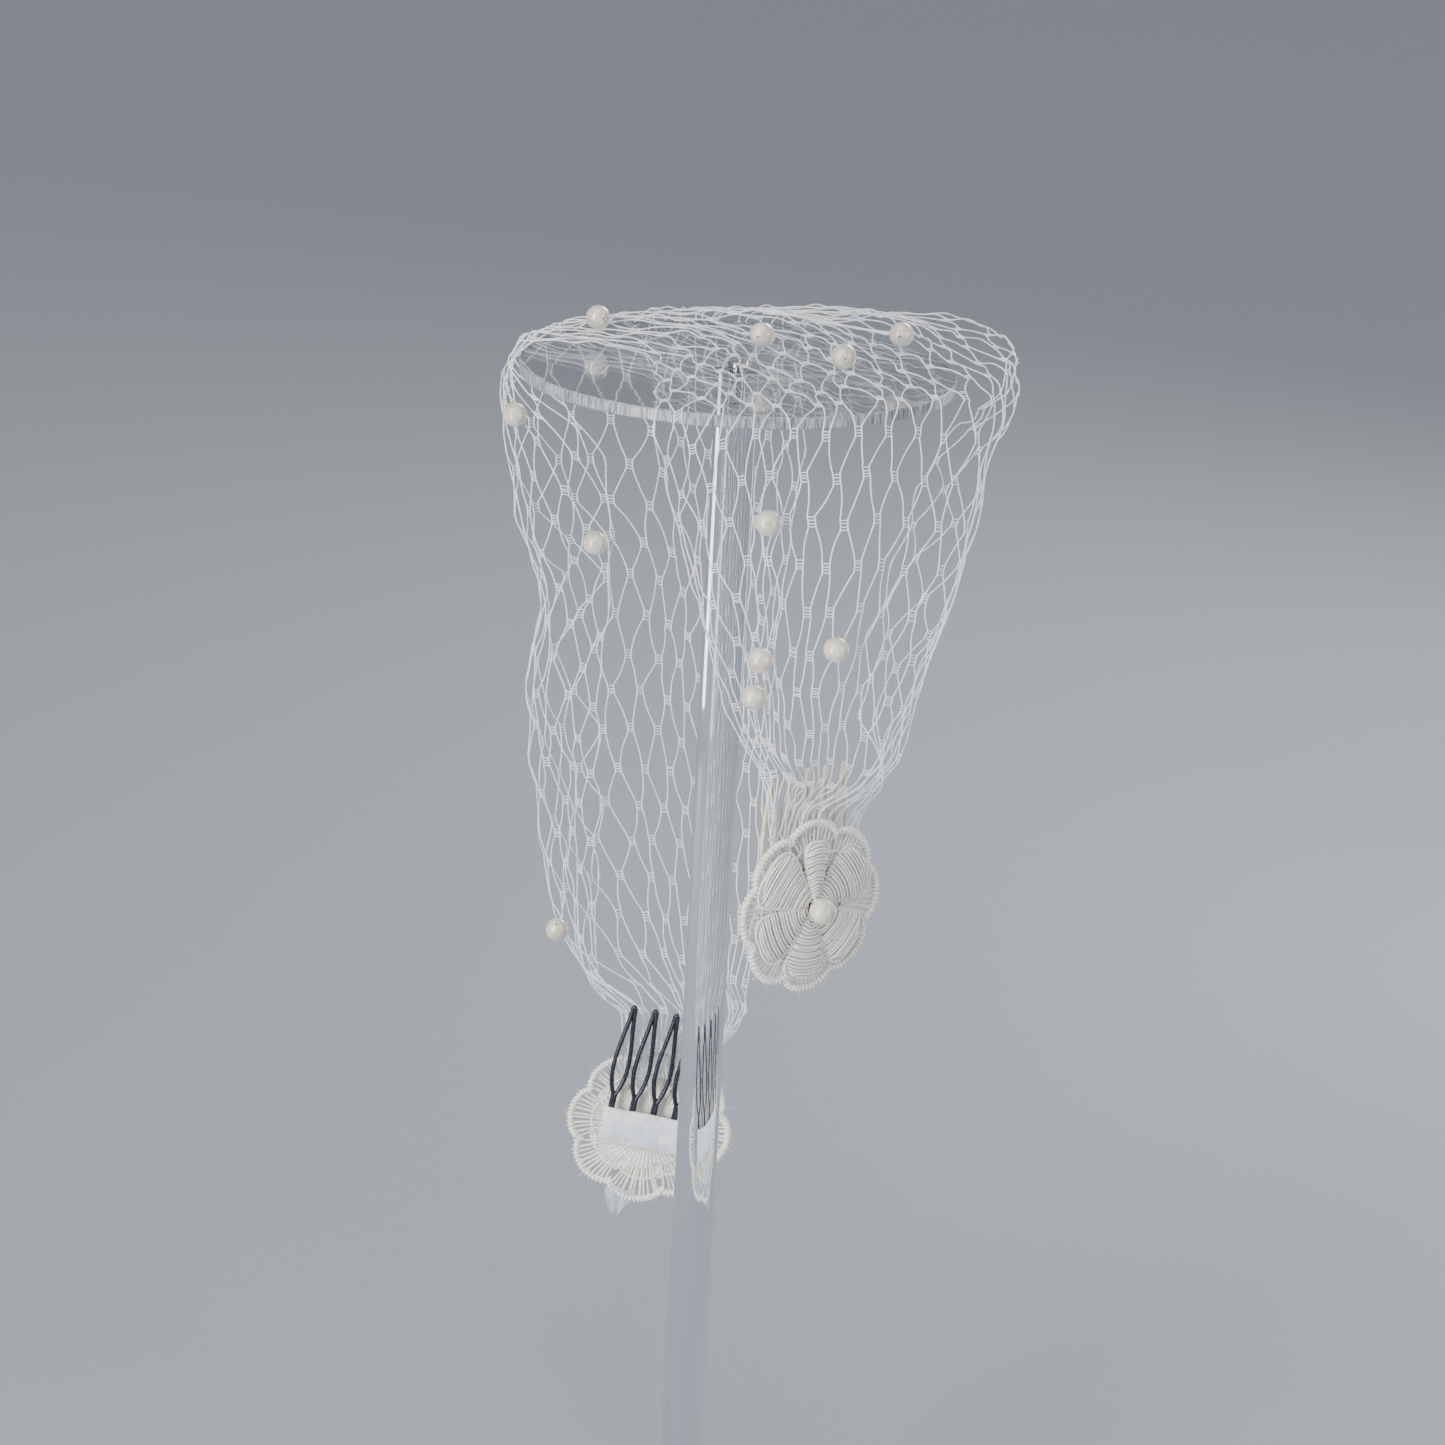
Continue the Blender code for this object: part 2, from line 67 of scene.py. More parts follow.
# The net strip, one row for each section from its back end to its front end. x, y and height
# place its left selvage. heading and turn, in degrees, are its course over its width, and skew
# bends it more on one side. lift raises its right selvage and swell its middle. fold and pleat
# are depths.
SECTION_COLUMNS = (
    "x", "y", "height", "heading", "turn", "skew", "width", "lift", "swell", "fold", "pleat"
)
GATHER_PLEAT = 1.3
SECTIONS = (
    ("back end", -28.8, 43.9, -264.0, 3.0, 0.0, 0.0, 32.0, -6.0, 0.0, 0.0, GATHER_PLEAT),
    ("back gather", -28.2, 43.9, -251.0, 3.0, 0.0, 0.0, 33.0, -10.0, 0.0, 0.0, GATHER_PLEAT),
    ("back pinch", -28.8, 43.8, -244.0, 12.0, -18.0, 0.0, 35.0, -10.0, 0.0, 0.0, GATHER_PLEAT),
    ("back neck", -33.0, 35.0, -226.0, 156.0, -196.0, 1.0, 86.0, -6.0, 0.0, 1.5, 0.8),
    ("back low", -36.0, 31.0, -200.0, 176.0, -212.0, 1.0, 110.0, 0.0, 0.0, 2.5, 0.4),
    ("back knee", -37.0, 26.0, -160.0, 190.0, -219.0, 1.0, 124.0, 0.0, 0.0, 2.5, 0.0),
    ("back swell", -39.0, 21.0, -118.0, 193.0, -218.0, 1.0, 139.0, 0.0, 0.0, 2.0, 0.0),
    ("back waist", -37.0, 18.0, -92.0, 187.0, -206.0, 1.0, 136.0, 0.0, 0.0, 2.0, 0.0),
    ("back middle", -36.0, 14.0, -62.0, 206.0, -224.0, 1.0, 166.0, 0.0, 0.0, 2.0, 0.0),
    ("back high", -41.0, 11.0, -30.0, 200.0, -218.0, 1.0, 178.0, 0.0, 0.0, 1.5, 0.0),
    ("back fall", -71.5, 16.0, -7.0, 106.0, -146.0, 0.2, 144.0, 0.0, 0.0, 0.8, 0.0),
    ("back rim", -71.0, 14.0, 0.9, 82.0, -104.0, 0.0, 136.0, 0.0, 0.0, 0.5, 0.0),
    ("crown back", -56.0, 7.0, 0.9, 60.0, -58.0, 0.0, 132.0, 2.2, 3.0, 0.8, 0.0),
    ("crown middle", -37.0, 1.0, 0.9, 34.0, -8.0, 0.0, 128.0, 3.2, 5.0, 1.0, 0.0),
    ("crown front", -28.0, -13.0, 0.9, 10.0, 36.0, 0.0, 131.0, 2.8, 4.5, 1.0, 0.0),
    ("crown fall", -27.0, -42.0, 0.9, -8.0, 84.0, 0.0, 154.0, 2.6, 2.0, 0.8, 0.0),
    ("front rim", -27.0, -68.5, 0.9, -16.0, 114.0, 0.0, 181.0, 2.4, 0.0, 0.5, 0.0),
    ("front fall", -26.5, -68.5, -7.0, -25.0, 130.0, 0.0, 183.0, -0.5, 0.0, 0.8, 0.0),
    ("front high", -20.0, -60.0, -28.0, -43.0, 175.0, 0.0, 180.0, 0.0, 0.0, 2.0, 0.0),
    ("front middle", -8.5, -56.0, -56.0, -58.0, 205.0, 0.0, 156.0, 0.0, 0.0, 3.0, 0.0),
    ("front low", 3.0, -52.0, -88.0, -68.0, 225.0, 0.0, 118.0, -1.0, 0.0, 3.0, 0.0),
    ("front waist", 8.0, -50.5, -106.0, -66.0, 220.0, 0.0, 97.0, -4.0, 0.0, 2.0, 0.5),
    ("front neck", 13.0, -53.0, -118.5, -22.0, 126.0, 0.0, 62.0, -9.0, 0.0, 1.0, 1.0),
    ("front pinch", 15.6, -56.0, -130.5, 37.0, 6.0, 0.0, 42.0, -9.0, 0.0, 0.0, GATHER_PLEAT),
    ("front gather", 16.3, -55.5, -140.0, 40.0, 0.0, 0.0, 37.0, -8.0, 0.0, 0.0, GATHER_PLEAT),
    ("front end", 17.1, -54.9, -156.0, 40.0, 0.0, 0.0, 34.0, -8.0, 0.0, 0.0, GATHER_PLEAT),
)
SECTION_VALUES = np.array([row[1:] for row in SECTIONS])
FOLD_COUNT = 4
FOLD_DRIFT = 0.12
FOLD_DEEPEN = 1.8
PLEAT_COUNT = 9
GRID_ALONG = 900
GRID_ACROSS = 117

# Ladder-joint net: threads run in pairs through each joint and part to the next row's joints.
# Cells are wider where a fall turns round its outer side: widths at even steps from the left
# selvage to the right, beside the mean, for the back fall, the crown and the front fall.
THREADS = 30
CELL_WIDTHS = {
    "back": (1.0, 1.0, 1.9, 1.2, 0.85, 0.75, 0.7),
    "crown": (1.0, 1.0, 1.0, 1.0, 1.0, 1.0, 1.0),
    "front": (0.8, 0.7, 0.7, 0.8, 1.2, 1.9, 1.2),
}
BACK_UNTIL, CROWN_FROM, CROWN_UNTIL, FRONT_FROM = 9.0, 12.0, 13.5, 19.5
CROWN_BAND = 8.0
NET_OFF_DISC = 0.6
WANDER = {"fall": 0.9, "crown": 1.4}
WANDER_LIMIT = 1.6
LEG_BOW = {"fall": 0.35, "crown": 1.1}
LEG_STRAIGHT = 0.85
CROWN_EASE = 2
GATHER_BUNDLES = {"back": 6, "front": 7}
BUNDLE_PULL = (0.5, 0.6, 0.5, 0.2)
CREASE_FROM = (9.0, 43.0)
CREASE_TO = (49.0, 20.0)
CREASE_THREADS = 4
CREASE_RADIUS = 0.25
CREASE_RISE = 1.2
CREASE_GAP = 0.4
CREASE_SAG = 0.5
JOINT_PITCH = 13.4
JOINT_LENGTH = 3.5
JOINT_WIDTH = 2.1
JOINT_MOST_OF_CELL = 0.55
JOINT_SLIP = 0.05
JOINT_LEAN = 0.06
JOINT_FLARE = 0.12
JOINT_RISE = 0.35
LOOSE_CELL = 5.0
SELVAGE_SHARE = 0.004
BARS = 4
BAR_SPREAD = 0.8
BAR_STUB = 0.5
BAR_OVERHANG = 0.12
THREAD_RADIUS = 0.22
BAR_RADIUS = 0.16
GATHER_THREAD = 0.2
GATHER_STITCHES = 41

# Flowers, combs and ribbons, in the plane of each gather: x across, y up, z out of the flower.
TRIM_COLUMNS = ("x", "y", "height", "facing", "roll")
TRIMS = {
    "back": (-17.0, 44.5, -284.0, 93.0, 10.0),
    "front": (30.0, -43.8, -165.0, -50.0, 0.0),
}


# Shapes: a shape is its points and its four-sided faces.
def unit(vectors):
    return vectors / np.maximum(np.linalg.norm(vectors, axis=-1, keepdims=True), 1e-9)


def limited(values, limit):
    """Chance values without their far ends."""
    return np.clip(values, -limit, limit)


def joined(shapes):
    firsts = np.cumsum([0] + [len(points) for points, _ in shapes[:-1]])
    points = np.concatenate([points for points, _ in shapes])
    return points, np.concatenate([faces + first for (_, faces), first in zip(shapes, firsts)])


def placed(shape, matrix):
    turn = np.array(matrix.to_3x3())
    return shape[0] @ turn.T + np.array(matrix.translation), shape[1]


def tube(path, radius, sides=6, up=(0.0, 0.0, 1.0), loop=False):
    """A closed tube along a path. up keeps it from twisting, radius may change along and around."""
    path = np.asarray(path, float)
    count = len(path)
    along = np.roll(path, -1, 0) - np.roll(path, 1, 0) if loop else np.gradient(path, axis=0)
    side = unit(np.cross(along, up))
    top = unit(np.cross(side, along))
    turn = 2 * math.pi * np.arange(sides) / sides
    radius = np.asarray(radius, float)
    radius = np.broadcast_to(radius[:, None] if radius.ndim == 1 else radius, (count, sides))
    spread = np.cos(turn)[:, None] * side[:, None] + np.sin(turn)[:, None] * top[:, None]
    points = (path[:, None] + radius[..., None] * spread).reshape(-1, 3)
    ring = np.arange(sides)
    here = np.arange(count if loop else count - 1)[:, None] * sides
    after = (here + sides) % (count * sides)
    onward = (ring + 1) % sides
    walls = np.stack((here + ring, after + ring, after + onward, here + onward), axis=-1)
    faces = [walls.reshape(-1, 4)]
    if not loop:
        i = np.arange(sides // 2 - 1)
        cap = np.stack((i, i + 1, sides - 2 - i, sides - 1 - i), axis=-1)
        faces += [cap, cap[:, ::-1] + (count - 1) * sides]
    return points, np.concatenate(faces)


def shell(front, back, loop=False):
    """A closed sheet between two grids of points. With loop its columns go round a hole."""
    rows, columns = front.shape[:2]
    size = rows * columns
    i = np.arange(rows - 1)[:, None] * columns
    j = np.arange(columns if loop else columns - 1)
    k = (j + 1) % columns
    sheet = np.stack((i + j, i + k, i + columns + k, i + columns + j), axis=-1).reshape(-1, 4)
    last = size - columns
    rims = [
        np.stack((k, j, j + size, k + size), axis=-1),
        np.stack((j + last, k + last, k + last + size, j + last + size), axis=-1),
    ]
    if not loop:
        left = i[:, 0]
        right = left + columns - 1
        rims.append(np.stack((left, left + columns, left + columns + size, left + size), axis=-1))
        rims.append(np.stack((right + columns, right, right + size, right + columns + size), axis=-1))
    points = np.concatenate((front.reshape(-1, 3), back.reshape(-1, 3)))
    return points, np.concatenate([sheet, sheet[:, ::-1] + size] + rims)


def turned(profile, steps):
    """A round piece about Z. The profile is (radius, height), from its top to its underside."""
    radius, height = np.array(profile, float).T
    turn = 2 * math.pi * np.arange(steps) / steps
    points = np.stack((
        radius[:, None] * np.cos(turn), radius[:, None] * np.sin(turn),
        np.repeat(height[:, None], steps, axis=1),
    ), axis=-1).reshape(-1, 3)
    count = len(profile)
    hollow = profile[0] == profile[-1]
    if hollow:
        points = points[:-steps]
    i = np.arange(count - 1)[:, None] * steps
    j = np.arange(steps)
    k = (j + 1) % steps
    after = (i + steps) % len(points)
    faces = [np.stack((i + j, i + k, after + k, after + j), axis=-1).reshape(-1, 4)]
    if not hollow:
        n = np.arange(steps // 2 - 1)
        cap = np.stack((n, n + 1, steps - 2 - n, steps - 1 - n), axis=-1)
        faces += [cap, cap + (count - 1) * steps]
    return points, np.concatenate(faces)


def add_object(name, data):
    made = bpy.data.objects.new(name, data)
    bpy.context.scene.collection.objects.link(made)
    return made


def add_piece(name, shapes, finish, replaced=(), sharp=50):
    points, faces = joined(shapes)
    mesh = bpy.data.meshes.new(name)
    mesh.from_pydata((points * MM).tolist(), [], faces.tolist())
    outside = bmesh.new()
    outside.from_mesh(mesh)
    bmesh.ops.recalc_face_normals(outside, faces=outside.faces)
    outside.to_mesh(mesh)
    outside.free()
    mesh.shade_smooth()
    mesh.set_sharp_from_angle(angle=math.radians(sharp))
    mesh.materials.append(finish)
    piece = add_object(name, mesh)
    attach(piece, "root")
    if replaced:
        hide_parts(*replaced)
    return piece


# Materials
def linear(code):
    """A colour from its sRGB hex code."""
    shares = [int(code[i:i + 2], 16) / 255 for i in (1, 3, 5)]
    return (*[s / 12.92 if s <= 0.04045 else ((s + 0.055) / 1.055) ** 2.4 for s in shares], 1.0)


def add_node(tree, kind, sockets, **settings):
    """A shader node with its settings. A socket takes a value or another node's output."""
    made = tree.nodes.new("ShaderNode" + kind)
    for name, value in settings.items():
        setattr(made, name, value)
    for name, value in sockets.items():
        if isinstance(value, bpy.types.NodeSocket):
            tree.links.new(value, made.inputs[name])
        else:
            made.inputs[name].default_value = value
    return made


def new_material(name, colour, roughness, **sockets):
    material = bpy.data.materials.new(name)
    material.use_nodes = True
    tree = material.node_tree
    shader = tree.nodes["Principled BSDF"]
    shader.inputs["Base Color"].default_value = linear(colour)
    shader.inputs["Roughness"].default_value = roughness
    for socket, value in sockets.items():
        shader.inputs[socket.replace("_", " ")].default_value = value
    return material, tree, shader


def add_noise(tree, period, stretch, detail):
    """Noise through the piece, with its period in millimetres."""
    place = add_node(tree, "TexCoord", {})
    spread = add_node(tree, "Mapping", {"Vector": place.outputs["Object"], "Scale": stretch})
    noise = add_node(tree, "TexNoise", {
        "Vector": spread.outputs["Vector"], "Scale": 1 / (period * MM), "Detail": detail,
    })
    return noise.outputs["Fac"]


def add_mottle(tree, shader, period, low, high, stretch=(1.0, 1.0, 1.0), socket="Base Color"):
    """Soft variation between two colours, or between two values of the roughness."""
    ramp = add_node(tree, "ValToRGB", {"Fac": add_noise(tree, period, stretch, 3.0)})
    for stop, position, value in zip(ramp.color_ramp.elements, (0.35, 0.65), (low, high)):
        stop.position = position
        stop.color = linear(value) if isinstance(value, str) else (value, value, value, 1.0)
    tree.links.new(ramp.outputs["Color"], shader.inputs[socket])


def add_relief(tree, shader, period, depth, stretch=(1.0, 1.0, 1.0), detail=2.0):
    """Fine relief in the surface, with its depth in millimetres too."""
    height = add_noise(tree, period, stretch, detail)
    bump = add_node(tree, "Bump", {"Height": height, "Distance": depth * MM})
    tree.links.new(bump.outputs["Normal"], shader.inputs["Normal"])


def drawn_nylon():
    """Nylon net yarn, heat set: cool white, a slight gloss, the filaments' grain just seen."""
    material, tree, shader = new_material(
        "drawn_nylon_net_yarn", "#F4F6F8", 0.42, Sheen_Weight=0.25, Subsurface_Weight=0.1,
    )
    shader.inputs["Subsurface Scale"].default_value = 0.4 * MM
    add_mottle(tree, shader, 9.0, "#E9ECF0", "#FBFCFD")
    add_relief(tree, shader, 0.35, 0.06)
    return material


def rayon_embroidery(name, dark, light):
    """Machine embroidery in rayon: bright strands with a soft sparkle and fine filaments."""
    material, tree, shader = new_material(
        name, light, 0.45, Sheen_Weight=0.35, Subsurface_Weight=0.12,
    )
    shader.inputs["Subsurface Scale"].default_value = 0.6 * MM
    add_mottle(tree, shader, 1.1, dark, light)
    add_relief(tree, shader, 0.22, 0.09, detail=4.0)
    return material


def cotton_sewing_thread():
    """Mercerised cotton, twisted: white with a low sheen."""
    material, tree, shader = new_material("cotton_sewing_thread", "#F1F1EE", 0.6, Sheen_Weight=0.2)
    add_relief(tree, shader, 0.3, 0.05)
    return material


def lacquered_pearl():
    """Imitation pearl, a bead dipped in pearl lacquer: cream, deep gloss, faint cloudy bands."""
    material, tree, shader = new_material(
        "lacquered_imitation_pearl", "#DCD5C6", 0.28, Coat_Weight=0.9, Coat_Roughness=0.07,
        Subsurface_Weight=0.15, Sheen_Weight=0.2, Specular_IOR_Level=0.6,
    )
    shader.inputs["Subsurface Scale"].default_value = 1.0 * MM
    add_mottle(tree, shader, 3.5, "#C9C1B0", "#E4DED1")
    add_relief(tree, shader, 0.9, 0.015)
    return material


def wire_with_painted_dark_reflection():
    """Drawn steel wire, polished, with light rub marks: a dark mirror whose dark grey colour is a
    painted dark reflection.
    """
    # The dark grey base colour is painted: it stands in for the dark surroundings that the
    # silver-tone wire reflects.
    material, tree, shader = new_material("polished_wire_painted_dark_reflection", "#4A4D55", 0.2, Metallic=1.0)
    add_mottle(tree, shader, 1.4, 0.14, 0.34, socket="Roughness")
    add_relief(tree, shader, 0.8, 0.01)
    return material


def enamelled_wire():
    """Steel wire dipped in cream enamel: pale and glossy, thicker where the enamel ran."""
    material, tree, shader = new_material("cream_enamelled_wire", "#D6D1C3", 0.3, Coat_Weight=0.4)
    add_mottle(tree, shader, 2.0, "#C8C2B2", "#E2DED2")
    add_relief(tree, shader, 1.0, 0.02)
    return material


def woven_satin():
    """Polyester satin ribbon: floats give a smooth shine and a faint line across, and its cool white
    colour is mottled toward bluish grey as a painted sheen.

    The yarns are too fine to show, so the line is drawn at 0.5 mm.
    """
    material, tree, shader = new_material(
        "woven_satin_ribbon", "#E9EDF5", 0.27, Sheen_Weight=0.3, Anisotropic=0.6,
        Coat_Weight=0.35, Coat_Roughness=0.2,
    )
    # Painted sheen: soft patches of bluish grey and white stand in for the satin's shine, over the
    # ribbon's own cool white.
    add_mottle(tree, shader, 4.0, "#D3DAE6", "#F4F6FB")
    add_relief(tree, shader, 0.6, 0.16, stretch=(1.0, 1.0, 0.12))
    return material


def clear_acrylic(name, roughness, period, depth, stretch, tint):
    """Acrylic, cast or drawn: clear as glass, with the faint lines of its making."""
    material, tree, shader = new_material(
        name, tint, roughness, Transmission_Weight=1.0, IOR=1.49,
    )
    add_relief(tree, shader, period, depth, stretch)
    return material


def saw_cut_acrylic():
    """Acrylic cut by a saw: frosted, half clear, with pale streaks along the cut."""
    material, tree, shader = new_material(
        "saw_cut_acrylic_edge", "#9AA1A6", 0.36, Transmission_Weight=0.12, IOR=1.49,
    )
    add_mottle(tree, shader, 0.55, "#666D72", "#C6CBCE", stretch=(1.0, 1.0, 0.1))
    add_relief(tree, shader, 0.5, 0.05, stretch=(1.0, 1.0, 0.1))
    return material


def polished_slab():
    """Thick acrylic, cast and polished: glossy and half clear, as pale as the floor under it."""
    material, tree, shader = new_material("cast_acrylic_slab", "#E3E9ED", 0.06, Alpha=0.42)
    add_mottle(tree, shader, 40.0, "#DDE4E8", "#E9EEF1")
    add_relief(tree, shader, 15.0, 0.02)
    return material


def zinc_plated_steel():
    """Screw steel with bright zinc: pale metal with turning marks."""
    material, tree, shader = new_material("zinc_plated_steel", "#C3C4C4", 0.24, Metallic=1.0)
    add_mottle(tree, shader, 0.8, 0.16, 0.36, socket="Roughness")
    return material


def organza_scrap():
    """A cut end of backing organza: thin, stiff and half clear."""
    material, tree, shader = new_material("organza_backing", "#D3DAE1", 0.5, Alpha=0.38)
    add_relief(tree, shader, 0.4, 0.05)
    return material


def matte_paper():
    """Backdrop paper, matte: mid-pale grey with a slight tooth, so that the white net shows."""
    material, tree, shader = new_material("matte_backdrop_paper", "#91979F", 0.85)
    add_relief(tree, shader, 1.5, 0.05)
    return material


nylon = drawn_nylon()
lace_thread = rayon_embroidery("rayon_satin_stitch", "#E6E3D9", "#FAF8F2")
thread = cotton_sewing_thread()
pearl_finish = lacquered_pearl()
wire_finishes = {
    "back": wire_with_painted_dark_reflection(),
    "front": enamelled_wire(),
}
satin = woven_satin()
acrylic_rod = clear_acrylic("drawn_acrylic_rod", 0.03, 1.1, 0.014, (1.0, 1.0, 0.01), "#EDF1F4")
acrylic_sheet = clear_acrylic("cast_acrylic_sheet", 0.02, 12.0, 0.02, (1.0, 1.0, 1.0), "#F3F6F8")
acrylic_slab = polished_slab()
acrylic_edge = saw_cut_acrylic()
zinc = zinc_plated_steel()
organza = organza_scrap()


# The net
def row_slope(row):
    """How fast the table's values change at a row: level at a peak, so nothing overshoots."""
    last = len(SECTION_VALUES) - 1
    rise = SECTION_VALUES[row] - SECTION_VALUES[max(row - 1, 0)]
    onward = SECTION_VALUES[min(row + 1, last)] - SECTION_VALUES[row]
    same_way = rise * onward > 0
    total = np.where(same_way, rise + onward, 1.0)
    return np.where(same_way, 2 * rise * onward / total, 0.0)


def section_at(along):
    row = min(max(int(along), 0), len(SECTION_VALUES) - 2)
    f = along - row
    here, after = SECTION_VALUES[row], SECTION_VALUES[row + 1]
    values = here + (after - here) * f * f * (3 - 2 * f)
    values = values + row_slope(row) * f * (1 - f) ** 2 - row_slope(row + 1) * f * f * (1 - f)
    return dict(zip(SECTION_COLUMNS, values))


def flat_section(s, across):
    """One section's points before its folds, from the left selvage to the right."""
    middles = (across[1:] + across[:-1]) / 2
    heading = np.radians(
        s["heading"] + s["turn"] * (middles + s["skew"] * middles * (1 - middles))
    )
    step = s["width"] / len(middles)
    x = s["x"] + np.concatenate(([0.0], np.cumsum(np.cos(heading)) * step))
    y = s["y"] + np.concatenate(([0.0], np.cumsum(np.sin(heading)) * step))
    height = s["height"] + s["lift"] * across + s["swell"] * 4 * across * (1 - across)
    return np.stack((x, y, height + DISC_TOP), axis=1)


def strip_grid():
    """The strip's points and outward directions, at equal steps of cloth along each column."""
    places = np.linspace(0.0, len(SECTIONS) - 1.0, GRID_ALONG + 1)
    across = np.linspace(0.0, 1.0, GRID_ACROSS + 1)
    sections = [section_at(along) for along in places]
    points = np.array([flat_section(s, across) for s in sections])
    outward = unit(np.cross(np.gradient(points, axis=0), np.gradient(points, axis=1)))
    for i, (along, s) in enumerate(zip(places, sections)):
        folds = 1 - np.cos(2 * math.pi * (FOLD_COUNT * across + FOLD_DRIFT * along))
        pleats = 1 - np.cos(2 * math.pi * PLEAT_COUNT * across)
        depth = (FOLD_DEEPEN * s["fold"] * folds + s["pleat"] * pleats) / 2
        points[i] += outward[i] * depth[:, None]
    steps = np.linalg.norm(np.diff(points, axis=0), axis=2)
    run = np.concatenate((np.zeros((1, GRID_ACROSS + 1)), np.cumsum(steps, axis=0)))
    even = np.linspace(0.0, 1.0, GRID_ALONG + 1)
    for j in range(GRID_ACROSS + 1):
        for field in (points, outward):
            for axis in range(3):
                field[:, j, axis] = np.interp(even * run[-1, j], run[:, j], field[:, j, axis])
    middle = run[:, GRID_ACROSS // 2]
    return points, unit(outward), run[-1].mean(), np.interp(even * middle[-1], middle, places)


GRID, OUTWARD, STRIP_LENGTH, PLACES = strip_grid()
ROWS = round(STRIP_LENGTH / JOINT_PITCH)
ROW_WIDTHS = np.linalg.norm(np.diff(GRID, axis=1), axis=2).sum(axis=1)


def on_net(rows, shares):
    """Points and outward directions on the strip, by joint row and share of its width."""
    i = np.clip(np.asarray(rows) / ROWS, 0, 1) * GRID_ALONG
    j = np.clip(np.asarray(shares), 0, 1) * GRID_ACROSS
    i0 = np.minimum(i.astype(int), GRID_ALONG - 1)
    j0 = np.minimum(j.astype(int), GRID_ACROSS - 1)
    f, g = (i - i0)[..., None], (j - j0)[..., None]
    return [
        (field[i0, j0] * (1 - f) + field[i0 + 1, j0] * f) * (1 - g)
        + (field[i0, j0 + 1] * (1 - f) + field[i0 + 1, j0 + 1] * f) * g
        for field in (GRID, OUTWARD)
    ]


def spread_table():
    """For each row, the share across of each of the threads' even places."""
    knots = np.linspace(0, 1, len(CELL_WIDTHS["crown"]))
    fine = np.linspace(0, 1, 8 * THREADS + 1)
    runs = []
    for part in ("back", "crown", "front"):
        widths = np.interp(fine, knots, CELL_WIDTHS[part])
        run = np.concatenate(([0.0], np.cumsum((widths[1:] + widths[:-1]) / 2)))
        runs.append(run / run[-1])
    back, crown, front = runs
    table = []
    for row in range(ROWS + 1):
        along = PLACES[round(row / ROWS * GRID_ALONG)]
        at_back = np.interp(along, (BACK_UNTIL, CROWN_FROM), (1.0, 0.0))
        at_front = np.interp(along, (CROWN_UNTIL, FRONT_FROM), (0.0, 1.0))
        table.append(back * at_back + front * at_front + crown * (1 - at_back - at_front))
    return fine, table


def on_crown(row):
    return abs(GRID[round(row / ROWS * GRID_ALONG), :, 2].mean() - DISC_TOP) < CROWN_BAND


def bundled(row, across):
    """A gather draws its threads together between the comb's teeth."""
    from_end = min(row, ROWS - row)
    if from_end >= len(BUNDLE_PULL):
        return across
    bundles = GATHER_BUNDLES["back" if row < ROWS / 2 else "front"]
    centre = (np.floor(across * bundles) + 0.5) / bundles
    return across + (centre - across) * BUNDLE_PULL[from_end]


def joint_table():
    """Where each thread sits in each row's joints: (row, share across, side, reach, lean)."""
    rows = np.arange(ROWS + 1)
    even, spread = spread_table()
    widths = np.interp(rows / ROWS, np.linspace(0, 1, GRID_ALONG + 1), ROW_WIDTHS)
    drift = random.normal(0.0, 1.0, (ROWS + 1, THREADS + 1, 4))
    table = np.zeros((ROWS + 1, THREADS, 5))
    for row in rows:
        cell = widths[row] / THREADS
        reach = min(JOINT_WIDTH / 2, JOINT_MOST_OF_CELL * cell) / widths[row]
        loose = min(1.0, cell / LOOSE_CELL)
        for k in range(THREADS):
            first = k if (k + row) % 2 == 0 else k - 1
            across = np.interp((first + 1) / THREADS, even, spread[row])
            wander = drift[row, first + 1]
            reach_of_wander = WANDER["crown" if on_crown(row) else "fall"] * loose
            across += limited(wander[0], WANDER_LIMIT) * reach_of_wander / widths[row]
            across = np.clip(bundled(row, across), SELVAGE_SHARE, 1 - SELVAGE_SHARE)
            slip = limited(wander[1], WANDER_LIMIT) * JOINT_SLIP
            side = -1 if k == first else 1
            table[row, k] = (row + slip, across, side, reach, wander[2] * JOINT_LEAN)
    return table, limited(drift[:, :, 3], 1.5), widths


JOINTS, JOINT_LIFT, WIDTHS = joint_table()
LEG_BOWS = limited(random.normal(0, 1, (ROWS, THREADS, 2)), WANDER_LIMIT)
HALF_JOINT = JOINT_LENGTH / JOINT_PITCH / 2


def joint_point(row, k, e, overhang=0.0):
    """A point of thread k in a row's joint, e from -1 at its start to 1 at its end."""
    at, across, side, reach, lean = JOINTS[row, k]
    waist = 1.0 + JOINT_FLARE * e * e
    share = across + side * (reach * waist + overhang / WIDTHS[row]) + e * lean * reach
    point, out = on_net(at + e * HALF_JOINT, share)
    first = k if (k + row) % 2 == 0 else k - 1
    lift = JOINT_RISE * JOINT_LIFT[row, first + 1]
    on_disc = point[2] > DISC_TOP - 6.0
    return point + out * (abs(lift) * 1.6 if on_disc else lift), out


LEG_SHARES = (0.14, 0.38, 0.62, 0.86)


def leg_points(start, end, row, k):
    """The free thread between two joints: nearly straight, but round the disc's rim."""
    low, high = min(start[2], end[2]) - DISC_TOP, max(start[2], end[2]) - DISC_TOP
    at_rim = low < NET_OFF_DISC and high > -DISC_THICK - 1.0
    straight = 0.0 if at_rim else LEG_STRAIGHT
    here, after = JOINTS[row, k], JOINTS[row + 1, k]
    crown = on_crown(row)
    bow = LEG_BOW["crown" if crown else "fall"] * LEG_BOWS[row, k] * (0.0 if at_rim else 1.0)
    made = []
    for t in LEG_SHARES:
        share_here = here[1] + here[2] * here[3]
        share_after = after[1] + after[2] * after[3]
        rows = (here[0] + HALF_JOINT) * (1 - t) + (after[0] - HALF_JOINT) * t
        point, out = on_net(rows, share_here * (1 - t) + share_after * t)
        chord = start * (1 - t) + end * t
        raised = out * (abs(bow[0]) if crown else bow[0])
        aside = unit(np.cross(out, end - start)) * bow[1]
        belly = (raised + aside) * math.sin(math.pi * t)
        made.append((point * (1 - straight) + chord * straight + belly, out))
    return made


